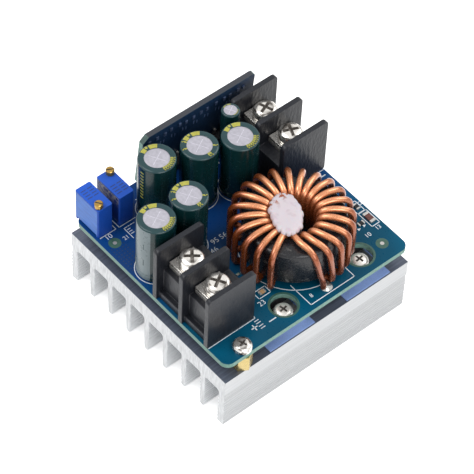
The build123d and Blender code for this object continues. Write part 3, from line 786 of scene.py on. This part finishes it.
class MODULE_OT_main_board(bpy.types.Operator):
    """Finish the main board and add its fiducials, rings and vias"""
    bl_idname = "module.main_board"
    bl_label = "Main board"

    def execute(self, context):
        dress("main_board", lacquered_board, 0.1, 1)
        top = corners("main_board")[1].z
        rise = context.scene.module_print.thickness / MM / 2
        shape = Shape()
        for place in ((-17.1, -27.6), (25.85, 25.8)):
            shape.disc((*place, top), 1.7, rise * 1.5, 32)
            shape.disc((*place, top), 0.55, rise * 3, 24, 1)
        for place in loose_places("device_screws"):
            shape.band(place, 3.55, 4.1, top, top + rise, 0, WHOLE_TURN, 0, 48)
        shape.build("board_pads", ("bare_laminate", "tinned_metal"))
        # Rows of vias near the front edge, cut short by a bare round spot
        left, front, pitch, radius = -15.8, -29.6, 0.95, 0.2
        bare, clear = (-4.4, -24.6), 5.6
        vias = Shape()
        for row in range(5):
            for column in range(12):
                x, y = left + column * pitch, front + row * pitch
                if math.hypot(x - bare[0], y - bare[1]) > clear:
                    vias.disc((x, y, top), radius, rise, 10)
        vias.build("board_vias", ("via_lacquer",))
        return {"FINISHED"}


class MODULE_OT_silkscreen(bpy.types.Operator):
    """Print the outlines of the parts on the board, with plain digits and signs"""
    bl_idname = "module.silkscreen"
    bl_label = "Silkscreen"

    def execute(self, context):
        width, rise, digit = sized(context.scene.module_print, "line", "thickness", "digit")
        bold = width * 1.4
        top = corners("main_board")[1].z
        shape = Shape()

        def stroke(start, end, wide=width):
            shape.line(start, end, wide, top, top + rise)

        def path(*points):
            for start, end in zip(points, points[1:]):
                stroke(start, end)

        def circle(node, radius):
            inner, outer = radius - width / 2, radius + width / 2
            shape.band(middle(node), inner, outer, top, top + rise, 0.0, WHOLE_TURN, 0, 48)

        def digits(text, x, y, turn=90, size=digit):
            place = Matrix.Translation((x, y, top + rise * 0.6)) @ Matrix.Rotation(math.radians(turn), 4, "Z")
            shape.mesh(digits_mesh(text, size), place)

        low, high = corners("toroid_core")
        circle("toroid_core", (high.x - low.x) / 2 + 0.55)
        for index in range(1, 6):
            circle("capacitor_%d_can" % index, 5.35)
        circle("small_capacitor_can", 2.8)
        low, high = corners("output_terminal_housing")
        left, right, back = low.x - 0.15, high.x + 0.15, high.y + 0.3
        path((right, low.y + 0.4), (right, back), (left, back), (left, low.y + 0.4))
        path((right, low.y + 10.1), (high.x - 0.9, low.y + 10.1))
        low, high = corners("input_terminal_housing")
        left, right, front = low.x - 0.3, high.x + 0.3, low.y - 0.3
        path((right, high.y - 0.4), (right, front), (left, front), (left, high.y - 0.4))
        for (x, y), wide, long in chip_frames():
            path((x - wide, y - long), (x + wide, y - long), (x + wide, y + long), (x - wide, y + long),
                 (x - wide, y - long))
        # By the choke's outer end, and beside the trimmers
        path((21.5, -1.6), (29.35, -1.6), (29.35, 13.1), (25.4, 13.1))
        path((-20.55, -29.6), (-20.55, -24.5), (-22.0, -24.5))
        path((-24.1, -23.5), (-20.45, -23.5), (-20.45, -18.2))
        path((-15.5, -22.8), (-19.35, -22.8), (-19.35, -21.9))
        for index in range(3):
            step = index * 0.8
            path((-19.35, -21.5 + step), (-19.35, -21.1 + step))
            path((-18.5 + step, -22.3), (-18.5 + step, -21.5))
            path((-25.0 + step, -14.4 - index * 0.2), (-24.5 + step, -13.4 - index * 0.3))
        digits("10", -19.6, -27.6)
        digits("21", -16.7, -24.2, size=1.2)
        digits("12", 13.6, 26.0, 0, 1.3)
        digits("12", 12.2, 30.1, 0, 1.1)
        digits("13", 21.3, 28.6, size=1.2)
        digits("10", 21.6, 24.8, size=1.3)
        digits("23", 21.2, -10.9)
        digits("95", -1.6, -7.2, size=1.6)
        digits("56", -1.6, -4.4, size=1.6)
        digits("46", 0.7, -9.3, size=1.6)
        digits("8", 27.2, 0.4, size=1.2)
        for x, y in ((18.6, 26.3), (18.7, 24.4)):
            shape.prism([(x - 0.45, y - 0.5), (x + 0.45, y - 0.5), (x, y + 0.4)], top, top + rise)
        # Minus and plus signs, and pairs of bars, beside the terminals
        for x, y in ((26.8, -12.2), (-0.6, 28.6)):
            stroke((x, y - 1.0), (x, y + 1.0), bold)
        for x, y in ((25.9, -17.4), (-26.2, 22.9)):
            stroke((x - 0.8, y), (x + 0.8, y), bold)
            stroke((x, y - 0.8), (x, y + 0.8), bold)
        for x, y in ((26.7, -15.6), (24.9, -15.6), (-1.0, 25.8)):
            stroke((x - 0.4, y - 0.6), (x - 0.4, y + 0.6))
            stroke((x + 0.4, y - 0.6), (x + 0.4, y + 0.6))
        shape.build("silkscreen", ("white_print",))
        return {"FINISHED"}


def chip_frames():
    """Middle, half width and half length of each printed frame round a chip part."""
    front, _, hidden, framed = loose_places("board_chip_parts")
    return ((framed, 2.65, 1.3), (hidden, 1.9, 1.2), (front, 1.2, 1.9))


class MODULE_OT_board_fasteners(bpy.types.Operator):
    """Make the pan head screws of the board and finish the standoffs"""
    bl_idname = "module.board_fasteners"
    bl_label = "Board fasteners"

    def execute(self, context):
        dress("board_standoffs", "turned_brass", 0.1)
        dress("device_washers", nickel, 0.08, 1)
        for node, turn, plate in (("board_screws", 0.35, nickel), ("device_screws", 0.15, "bright_nickel")):
            low, high = corners(node)
            profile = screw_profile(low.z, high.z, **PAN_SCREW)
            turned_screw(node + "_turned", node, plate, loose_places(node), profile, cross_arms(1.6, turn),
                         0.75, 1.0)
        return {"FINISHED"}


class MODULE_OT_power_devices(bpy.types.Operator):
    """Finish the pads and the two power devices under the board"""
    bl_idname = "module.power_devices"
    bl_label = "Power devices"

    def execute(self, context):
        dress("thermal_pads", "pad_silicone", 0.05, 1)
        for name in ("transistor", "rectifier"):
            dress(name + "_frame", "tinned_metal", 0.06, 1)
            dress(name + "_mould", "moulded_epoxy", 0.15)
        return {"FINISHED"}


class MODULE_OT_choke_core(bpy.types.Operator):
    """Make the choke's powder core with its rounded edges"""
    bl_idname = "module.choke_core"
    bl_label = "Choke core"

    def execute(self, context):
        low, high = corners("toroid_core")
        centre = middle("toroid_core")
        outer, inner, rounding = (high.x - low.x) / 2, 7.25, 1.0
        ring = rounded([(radius, height, rounding) for radius, height in (
            (inner, low.z), (outer, low.z), (outer, high.z), (inner, high.z))], 5)
        shape = Shape()
        shape.lathe((centre.x, centre.y, 0), ring + ring[:1], 72)
        shape.build("core_ring", (core_lacquer,), stands_for=("toroid_core",))
        return {"FINISHED"}


class MODULE_OT_choke_winding(bpy.types.Operator):
    """Wind the enamelled wire through the choke's core"""
    bl_idname = "module.choke_winding"
    bl_label = "Choke winding"

    def execute(self, context):
        settings = context.scene.module_choke
        curve = bpy.data.curves.new("winding_route", "CURVE")
        curve.dimensions = "3D"
        curve.bevel_depth = settings.wire_radius
        curve.bevel_resolution = 4
        curve.use_fill_caps = True
        route = winding_route(settings)
        line = curve.splines.new("NURBS")
        line.points.add(len(route) - 1)
        for point, place in zip(line.points, route):
            point.co = (*(place * MM), 1.0)
        line.order_u = 4
        line.use_endpoint_u = True
        line.resolution_u = 5
        shape = Shape()
        shape.mesh(shaped_mesh(new_object("winding_route", curve)))
        shape.build("winding_wire", (copper,), stands_for=("toroid_winding",), smooth=60.0)
        return {"FINISHED"}


def winding_route(settings):
    """Route of the wire, in millimetres: up outside, over the core, down the bore and out again below."""
    wire, outside, inside, arch = sized(settings, "wire_radius", "outer_reach", "inner_reach", "arch")
    centre = middle("toroid_core")
    core_low, core_high = corners("toroid_core")
    bottom = core_low.z - wire - 0.05
    top = core_high.z + wire + 0.1
    under_board = corners("main_board")[0].z - 0.6
    last = settings.turns - 1

    def at(radius, angle, height):
        return Vector((centre.x + radius * math.cos(angle), centre.y + radius * math.sin(angle), height))

    def end_share(turn):
        return max(0, turn - (last - 4))

    def outer(turn):
        return settings.first_angle - settings.step * turn

    def inner(turn):
        swell = 6.0 * max(0.0, 1 - abs(turn - 0.64 * last) / 4)
        return outer(turn) + math.radians(-6.5 * end_share(turn) + swell)

    def foot(turn):
        return outer(turn) + math.radians(3.0 * max(0, end_share(turn) - 1))

    def bulge(angle):
        """The wire stands off further at the left and a little at the back."""
        left, back = angle - math.radians(222.0), angle - math.radians(137.0)
        return 1.3 * max(0.0, math.cos(left)) + 0.4 * max(0.0, math.cos(back))

    def draw_in(angle):
        """The wire lies further into the bore at the right."""
        return 0.5 * max(0.0, math.cos(angle - math.radians(40.0)))

    def over(turn):
        out, into = outer(turn), inner(turn)
        reach, bore = outside + bulge(out), inside - draw_in(into)

        def slant(share):
            return out + share * (into - out)

        return [at(reach, out + 0.2 * (foot(turn) - out), top - 3.6), at(reach - 0.1, out, top - 1.6),
                at(reach - 1.3, slant(0.08), top - 0.2), at(reach - 3.4, slant(0.26), top + arch),
                at(bore + 4.2, slant(0.52), top + arch * 1.6), at(bore + 2.0, slant(0.78), top + arch),
                at(bore + 0.6, slant(0.95), top - 0.3), at(bore, into, top - 2.2)]

    def down(turn):
        steps = ((0, 1.8), (0.4, 0.1), (2.1, 0))
        return [at(inside + reach, outer(turn), bottom + height) for reach, height in steps]

    def up(turn):
        reach, base, lean = outside + bulge(outer(turn)), foot(turn), foot(turn) - outer(turn)
        return [at(outside - 2.0, base, bottom), at(reach - 0.2, base, bottom + 0.1),
                at(reach, base, bottom + 2.0), at(reach, outer(turn) + 0.55 * lean, top - 6.5)]

    start = at(outside, foot(last) + math.radians(1.7), under_board)
    lean = foot(last) - outer(last)
    route = [start, start + Vector((0, 0, bottom + 1.4 - under_board)),
             at(outside, outer(last) + 0.7 * lean, bottom + 4.0),
             at(outside, outer(last) + 0.4 * lean, top - 5.5)]
    for turn in range(last, 0, -1):
        route += over(turn) + down(turn) + up(turn - 1)
    return route + over(0) + [at(inside, outer(0), under_board)]


class MODULE_OT_choke_plug(bpy.types.Operator):
    """Squeeze the white silicone into the choke's bore"""
    bl_idname = "module.choke_plug"
    bl_label = "Choke plug"

    def execute(self, context):
        low, high = corners("toroid_plug")
        core = middle("toroid_core")
        centre = core + Vector((-0.6, -2.5, 0))
        turn = Matrix.Rotation(math.radians(-30.0), 2)
        half_length, half_width = 7.1, 4.3
        draw = random.Random(7)
        scallops, steps = 19, 152
        lobes = [draw.uniform(-0.3, 0.3) for _ in range(scallops)]
        rows = []
        # Share of the way from the middle to the edge, and how far the bead has sunk there
        for share, drop in ((0.0, 0.0), (0.35, 0.0), (0.65, -0.03), (0.85, -0.1), (0.94, -0.3), (0.99, -0.7),
                            (1.0, -1.15)):
            for step in range(steps):
                angle = WHOLE_TURN * step / steps
                part = step * scallops / steps
                wave = abs(math.sin(math.pi * part)) ** 0.6
                edge = share ** 4 * (0.45 * wave + lobes[int(part)] * wave - 0.35)
                flat = turn @ Vector(((half_length + edge) * share * math.cos(angle),
                                      (half_width + edge) * share * math.sin(angle)))
                sag = 0.1 * math.sin(3 * angle + 1.0) * share - 0.1
                rows.append(Vector((centre.x + flat.x, centre.y + flat.y, high.z + drop + sag)))
        # The stem that goes down the bore
        for reach, height, share in ((3.6, high.z - 2.4, 0.8), (3.0, low.z, 0.3)):
            hub = core + share * (centre - core)
            rows += ring_points(Vector((hub.x, hub.y, 0)), reach, height, steps)
        faces = []
        for a in range(0, len(rows) - steps, steps):
            b = a + steps
            for step in range(steps):
                after = (step + 1) % steps
                faces.append([a + step, b + step, b + after, a + after])
        faces.append(list(range(len(rows) - steps, len(rows))))
        shape = Shape()
        shape.add(rows, faces)
        piece = shape.build("plug_bead", (silicone,), stands_for=("toroid_plug",),
                            smooth=80.0)
        welded(piece, 0.001)
        return {"FINISHED"}


class MODULE_OT_solder(bpy.types.Operator):
    """Make the solder joints of the choke, the legs and the pins"""
    bl_idname = "module.solder"
    bl_label = "Solder joints"

    def execute(self, context):
        board_low, board_high = corners("main_board")
        flare = [(0, 1.3), (0.75, 1.2), (0.85, 0.75), (1.15, 0.35), (1.6, 0.08), (1.65, 0)]
        joint = [(0, -0.95), (0.28, -0.9), (0.36, -0.6), (0.62, -0.25), (0.95, -0.05), (1.0, 0)]
        ends = loose_places("choke_solder")
        shape = Shape()
        shape.lathe((*max(ends), board_high.z), flare, 32)
        for place in (max(ends), min(ends)):
            shape.lathe((*place, board_low.z), [(radius, -height) for radius, height in flare], 32)
        shape.build("choke_joints", ("solder",), stands_for=("choke_solder",))
        pins = loose_places("trimmer_pins")
        for name, places, steps in (("lead_joints", lead_places(), 20), ("pin_joints", pins, 16)):
            under = Shape()
            for place in places:
                under.lathe((*place, board_low.z), joint, steps)
            under.build(name, ("solder",))
        dress("trimmer_pins", "tinned_metal")
        return {"FINISHED"}


def lead_places():
    """Where the capacitors' leads come through the board."""
    places = []
    for name, x, y in [("capacitor_%d_can" % index, 1.27, 2.2) for index in range(1, 6)] + [
            ("small_capacitor_can", 0.0, 1.0)]:
        place = middle(name)
        places += [(place.x - x, place.y - y), (place.x + x, place.y + y)]
    return places


class MODULE_OT_capacitors(bpy.types.Operator):
    """Make the sleeved capacitors with their crimp, band, marks and scored tops"""
    bl_idname = "module.capacitors"
    bl_label = "Capacitors"

    def execute(self, context):
        settings = context.scene.module_capacitors
        large = sized(settings, "lip", "shoulder", "groove", "groove_height", "disc_drop")
        for index, angle in enumerate(BAND_ANGLES, start=1):
            sleeved_can("capacitor_%d" % index, *large, math.radians(angle), 0.62)
        sleeved_can("small_capacitor", 1.8, 0.5, 0.2, 1.6, 0.12, math.radians(-170.0), 0.6)
        return {"FINISHED"}


def sleeved_can(name, lip, shoulder, groove, groove_height, drop, band_angle, band_half):
    sleeve_face, band_face, top_face, gold, rim_face, score = range(6)
    low, high = corners(name + "_sleeve")
    centre = (low + high) / 2
    radius = (high.x - low.x) / 2
    base = corners("main_board")[1].z + 0.02
    crimp = base + groove_height
    top = high.z - 0.03
    profile = rounded([(0, base), (radius - 0.4, base), (radius, base + 0.5, 0.3), (radius, crimp - 0.5, 0.2),
                       (radius - groove, crimp, 0.3), (radius, crimp + 0.5, 0.2), (radius, top, shoulder),
                       (lip, top, 0.08), (lip, top - drop), (0, top - drop)], 5)
    steps = 72
    body_top = top - shoulder * 0.7

    def finish_of(segment, step):
        height = (profile[segment][1] + profile[segment + 1][1]) / 2
        if segment == len(profile) - 2:
            return top_face
        if height > top - shoulder * 0.6:
            return rim_face
        angle = WHOLE_TURN * (step + 0.5) / steps - math.pi
        return band_face if abs(angle) < band_half and base + 0.5 < height < body_top else sleeve_face

    def rim_mark(start, end, inner, outer):
        """Gold on the flat of the sleeve's rim, between two shares of its width."""
        width = radius - shoulder - lip
        shape.band(centre, lip + inner * width, lip + outer * width, top - 0.02, top + 0.015,
                   math.radians(start), math.radians(end), gold, 8)

    def side_mark(height, tall, start, end, kind=gold, rise=0.015):
        shape.band(centre, radius - 0.02, radius + rise, height, height + tall, start, end, kind, 2)

    shape = Shape()
    shape.lathe((centre.x, centre.y, 0), profile, steps, finish_of, band_angle + math.pi)
    for start, end, inner in ((140, 172, 0.0), (177, 186, 0.5), (189, 208, 0.0)):
        rim_mark(start, end, inner, 1.1)
    sparse = name in ("capacitor_2", "capacitor_4")
    for start in (-5, 4, 48, 213, 248) if sparse else range(-15, 56, 9):
        rim_mark(start, start + 3, 0.0, 1.15)
        rim_mark(start, start + 6.5, 0.85, 1.15)
        rim_mark(start + 3.8, start + 6.8, 0.0, 0.6)
    edge, tall = band_angle - band_half, body_top - base
    side_mark(base + 0.8, tall - 0.8, edge - 0.012, edge + 0.012, rise=0.01)
    for share in (0.15, 0.24):
        side_mark(base + share * tall, 0.9, edge + 0.03, edge + 0.12)
    for share in (0.3, 0.62):
        side_mark(base + share * tall, 2.0, band_angle + 0.2, band_angle + 0.25, rim_face)
    if name == "capacitor_1":
        column = math.radians(-87.0)
        for index in range(9):
            side_mark(base + tall * (0.42 + 0.06 * index), 0.45, column - 0.12, column + 0.1)
    for angle in (0.5, 0.5 + math.pi / 2):
        way = Vector((math.cos(angle), math.sin(angle))) * lip * 0.72
        spot = Vector(centre[:2])
        shape.line(spot - way, spot + way, 0.12, top - drop, top - drop + 0.012, score)
    finishes = (sleeve, "sleeve_band", "can_top", "gold_print", "sleeve_rim", "can_score")
    shape.build(name + "_wrapped", finishes, stands_for=(name + "_can", name + "_sleeve"))


class MODULE_OT_terminals(bpy.types.Operator):
    """Finish the barrier blocks and their contact plates"""
    bl_idname = "module.terminals"
    bl_label = "Terminals"

    def execute(self, context):
        for name in ("output", "input"):
            dress(name + "_terminal_housing", terminal_plastic, 0.18)
            dress(name + "_contact_plates", "tinned_metal", 0.08)
        return {"FINISHED"}


class MODULE_OT_clamps(bpy.types.Operator):
    """Make the clamp screws and finish their washers"""
    bl_idname = "module.clamps"
    bl_label = "Clamps"

    def execute(self, context):
        turns = {"output_left": 0.9, "output_right": 0.55, "input_left": -0.4, "input_right": 0.35}
        for pole, turn in turns.items():
            dress(pole + "_clamp_washer", folded_nickel, 0.1)
            dress(pole + "_spring_washer", folded_nickel, 0.06, 1)
            node = pole + "_clamp_screw"
            low, high = corners(node)
            profile = screw_profile(low.z, high.z, **CLAMP_SCREW)
            turned_screw(pole + "_screw_turned", node, nickel, [middle(node)[:2]], profile,
                         cross_arms(2.75, turn), 1.15, 1.35, pole + "_screw")
        return {"FINISHED"}


class MODULE_OT_trimmers(bpy.types.Operator):
    """Finish the two trimmers and make their brass screws"""
    bl_idname = "module.trimmers"
    bl_label = "Trimmers"

    def execute(self, context):
        marks = Shape()
        for name, turn, side, face in (("current", 0.6, -1.0, 1), ("voltage", 1.1, 1.0, 2)):
            body = name + "_trimmer_body"
            dress(body, trimmer_plastic, 0.12)
            trimmer_screw(name, turn)
            low, high = corners(body)
            centre = (low + high) / 2
            for index in range(4):
                x = centre.x + side * (0.2 + index * 0.95)
                for start, end in ((-1.6, -0.35), (0.45, 1.6)):
                    marks.line((x, centre.y + start), (x, centre.y + end), 0.32, high.z - 0.01, high.z + 0.02)
            marks.box((low.x + 0.4, low.y - 0.02, low.z + 1.0),
                      (high.x - 0.4, low.y + 0.1, high.z - 0.4), face)
        marks.build("trimmer_marks", ("trimmer_print", trimmer_face, trimmer_sealant))
        return {"FINISHED"}


def trimmer_screw(name, turn):
    node = name + "_trimmer_screw"
    low, high = corners(node)
    seat = corners(name + "_trimmer_body")[1].z
    head, shank = 1.15, 0.75
    profile = [(0, low.z), (shank, low.z), (shank, seat), (head - 0.15, seat), (head, seat + 0.15),
               (head, high.z - 0.2), (head - 0.2, high.z), (0, high.z)]
    turned_screw(name + "_screw_turned", node, "trimmer_brass", [middle(node)[:2]], profile,
                 [(turn, head + 0.4)], 0.5, 0.75, name + "_adjuster", 28)


class MODULE_OT_control_board(bpy.types.Operator):
    """Finish the upright control board, its header and the small parts on both faces"""
    bl_idname = "module.control_board"
    bl_label = "Control board"

    def execute(self, context):
        dress("control_board", upright_lacquer, 0.08, 1)
        dress("control_header", "moulded_epoxy", 0.1)
        dress("control_header_pins", "tinned_metal", 0.05, 1)
        dress("control_chips", "moulded_epoxy", 0.12)
        low, high = corners("control_board")
        lean, height = math.radians(5.9), 18.7
        front = high.x - height * math.sin(lean)
        foot = Matrix.Translation((front, 0, low.z)) @ Matrix.Rotation(lean, 4, "Y")
        tin, ceramic, dim_print, dim_chip = range(4)
        draw = random.Random(3)
        shape = Shape()

        def part(y, level, half, tall, front, kind, back=0.0, shift=0.0):
            """A box on the board, whose height is given from the board's foot."""
            shape.box((back, y + shift - half, level), (front, y + shift + half, level + tall), kind, foot)

        y = low.y + 2.2
        while y < high.y - 2:
            part(y, 15.8 - draw.uniform(0, 0.8), 0.4, 1.2, 0.3, dim_chip)
            y += draw.uniform(1.9, 3.1)
        for index in range(9):
            y = low.y + 3 + index * 3.7
            part(y, 12.6, 0.15, 1.2, 0.03, dim_print, shift=-0.55)
            part(y, 12.2, 0.15, 1.2, 0.03, dim_print, shift=0.55)
        for index in range(10):
            y = low.y + 2.5 + index * 3.5
            level = 5.5 if index % 2 else 15.6
            part(y, level - 0.9, 0.5, 1.8, -1.6, ceramic, -2.2)
            part(y, level + 0.6, 0.52, 0.4, -1.6, tin, -2.22)
            part(y, level - 1.0, 0.52, 0.4, -1.6, tin, -2.22)
        kinds = ("tinned_metal", "chip_ceramic", "dim_print", "dim_chip")
        soften(shape.build("control_board_parts", kinds), 0.05, 1)
        return {"FINISHED"}


class MODULE_OT_chip_parts(bpy.types.Operator):
    """Make the chip parts on the main board with their tinned ends"""
    bl_idname = "module.chip_parts"
    bl_label = "Chip parts"

    def execute(self, context):
        top = corners("main_board")[1].z
        front, dark, hidden, framed = loose_places("board_chip_parts")
        tin, ceramic, epoxy, resistor = range(4)
        shape = Shape()
        for (x, y), turn, long, wide, kind in (
                (front, 90, 2.0, 1.25, ceramic), (dark, 90, 2.0, 1.25, epoxy),
                (hidden, 0, 2.0, 1.25, epoxy), (framed, 0, 3.6, 1.7, resistor)):
            place = Matrix.Translation((x, y, top)) @ Matrix.Rotation(math.radians(turn), 4, "Z")
            end, half = long / 2 - 0.02, wide / 2 - 0.02
            cap = end - 0.22 * long
            shape.box((-end, -half, 0), (-cap, half, 0.58), tin, place)
            shape.box((cap, -half, 0), (end, half, 0.58), tin, place)
            shape.box((-cap, -half + 0.02, 0.02), (cap, half - 0.02, 0.56), kind, place)
        kinds = ("tinned_metal", "chip_ceramic", "moulded_epoxy", "chip_resistor")
        piece = shape.build("chip_part_bodies", kinds, stands_for=("board_chip_parts",))
        soften(piece, 0.06, 1)
        return {"FINISHED"}


class MODULE_OT_stage(bpy.types.Operator):
    """Set the floor, the soft lamps and the camera"""
    bl_idname = "module.stage"
    bl_label = "Stage"

    def execute(self, context):
        settings = context.scene.module_stage
        make_floor()
        make_world(context.scene, settings.room_light)
        make_lamps()
        make_camera(context.scene, settings)
        context.scene.view_settings.view_transform = "Standard"
        return {"FINISHED"}


def make_floor():
    """White card that the camera and glossy surfaces see as a little brighter."""
    half = 3.0
    card = Finish("floor_card", (0.92, 0.92, 0.92), 0.9)
    plain_card = card.shader.outputs["BSDF"]
    glow = card.node("Emission", {"Color": WHITE, "Strength": 0.5})
    bright = card.node("AddShader", {0: plain_card, 1: glow.outputs["Emission"]})
    seen = card.rays("Is Camera Ray", "Is Glossy Ray")
    choice = card.node("MixShader", {"Fac": seen, 1: plain_card, 2: bright.outputs["Shader"]})
    card.feed(card.tree.nodes["Material Output"].inputs["Surface"], choice.outputs["Shader"])
    mesh = bpy.data.meshes.new("floor")
    sheet = [(-half, -half, 0), (half, -half, 0), (half, half, 0), (-half, half, 0)]
    mesh.from_pydata(sheet, [], [(0, 1, 2, 3)])
    mesh.materials.append(card.material)
    new_object("floor", mesh)


def make_world(scene, strength):
    """Even light, seen as plain white by the camera and in reflections."""
    scene.world = bpy.data.worlds.new("studio")
    scene.world.use_nodes = True
    sky = Nodes(scene.world.node_tree)
    even = sky.tree.nodes["Background"]
    sky.feed(even.inputs["Color"], WHITE)
    sky.feed(even.inputs["Strength"], strength)
    white = sky.node("Background", {"Color": WHITE, "Strength": 1.0})
    seen = sky.rays("Is Camera Ray", "Is Glossy Ray", "Is Transmission Ray")
    lights = {"Fac": seen, 1: even.outputs["Background"], 2: white.outputs["Background"]}
    choice = sky.node("MixShader", lights)
    sky.feed(sky.tree.nodes["World Output"].inputs["Surface"], choice.outputs["Shader"])


def make_lamps():
    """A large soft lamp above the left front, a weaker one at the right, and one from behind."""
    lamps = (("key_lamp", (-0.25, -0.35, 0.75), 0.5, 3.6), ("side_lamp", (0.6, -0.15, 0.45), 0.45, 2.2),
             ("back_lamp", (0.1, 0.6, 0.6), 0.5, 2.6))
    for name, place, size, power in lamps:
        light = bpy.data.lights.new(name, "AREA")
        light.shape = "SQUARE"
        light.size = size
        light.energy = power
        lamp = new_object(name, light)
        lamp.location = place
        lamp.rotation_mode = "QUATERNION"
        lamp.rotation_quaternion = (-Vector(place)).to_track_quat("-Z", "Y")


def make_camera(scene, settings):
    camera = bpy.data.cameras.new("camera")
    camera.sensor_width = 36.0
    camera.lens = camera.sensor_width * settings.focal_share
    camera.clip_start = 0.01
    camera.clip_end = 20.0
    azimuth, elevation, roll = settings.azimuth, settings.elevation, settings.roll
    forward = Vector((-math.sin(azimuth) * math.cos(elevation), math.cos(azimuth) * math.cos(elevation),
                      -math.sin(elevation)))
    right = Vector((math.cos(azimuth), math.sin(azimuth), 0.0))
    up = right.cross(forward)
    turned_right = right * math.cos(roll) + up * math.sin(roll)
    turned_up = up * math.cos(roll) - right * math.sin(roll)
    axes = Matrix((turned_right, turned_up, -forward)).transposed().to_4x4()
    holder = new_object("camera", camera)
    holder.matrix_world = Matrix.Translation(Vector(settings.target) - forward * settings.distance) @ axes
    scene.camera = holder


OPERATORS = (
    MODULE_OT_heatsink, MODULE_OT_main_board, MODULE_OT_silkscreen, MODULE_OT_board_fasteners,
    MODULE_OT_power_devices, MODULE_OT_choke_core, MODULE_OT_choke_winding, MODULE_OT_choke_plug,
    MODULE_OT_solder, MODULE_OT_capacitors, MODULE_OT_terminals, MODULE_OT_clamps, MODULE_OT_trimmers,
    MODULE_OT_control_board, MODULE_OT_chip_parts, MODULE_OT_stage,
)
SETTINGS = {
    "module_colours": FinishColours,
    "module_choke": ChokeSizes,
    "module_capacitors": CapacitorSizes,
    "module_print": PrintSizes,
    "module_stage": StageSettings,
}


class MODULE_PT_panel(bpy.types.Panel):
    """Lists the steps that finish the module"""
    bl_idname = "MODULE_PT_panel"
    bl_label = "Buck converter module"
    bl_space_type = "VIEW_3D"
    bl_region_type = "UI"
    bl_category = "Module"

    def draw(self, context):
        for operator in OPERATORS:
            self.layout.operator(operator.bl_idname)


def register():
    for name, group in SETTINGS.items():
        bpy.utils.register_class(group)
        setattr(bpy.types.Scene, name, bpy.props.PointerProperty(type=group))
    for operator in OPERATORS:
        bpy.utils.register_class(operator)
    bpy.utils.register_class(MODULE_PT_panel)


def unregister():
    bpy.utils.unregister_class(MODULE_PT_panel)
    for operator in reversed(OPERATORS):
        bpy.utils.unregister_class(operator)
    for name, group in SETTINGS.items():
        delattr(bpy.types.Scene, name)
        bpy.utils.unregister_class(group)


def main():
    register()
    for operator in OPERATORS:
        group, name = operator.bl_idname.split(".")
        getattr(getattr(bpy.ops, group), name)()
    bpy.context.view_layer.update()


if __name__ == "__main__":
    main()
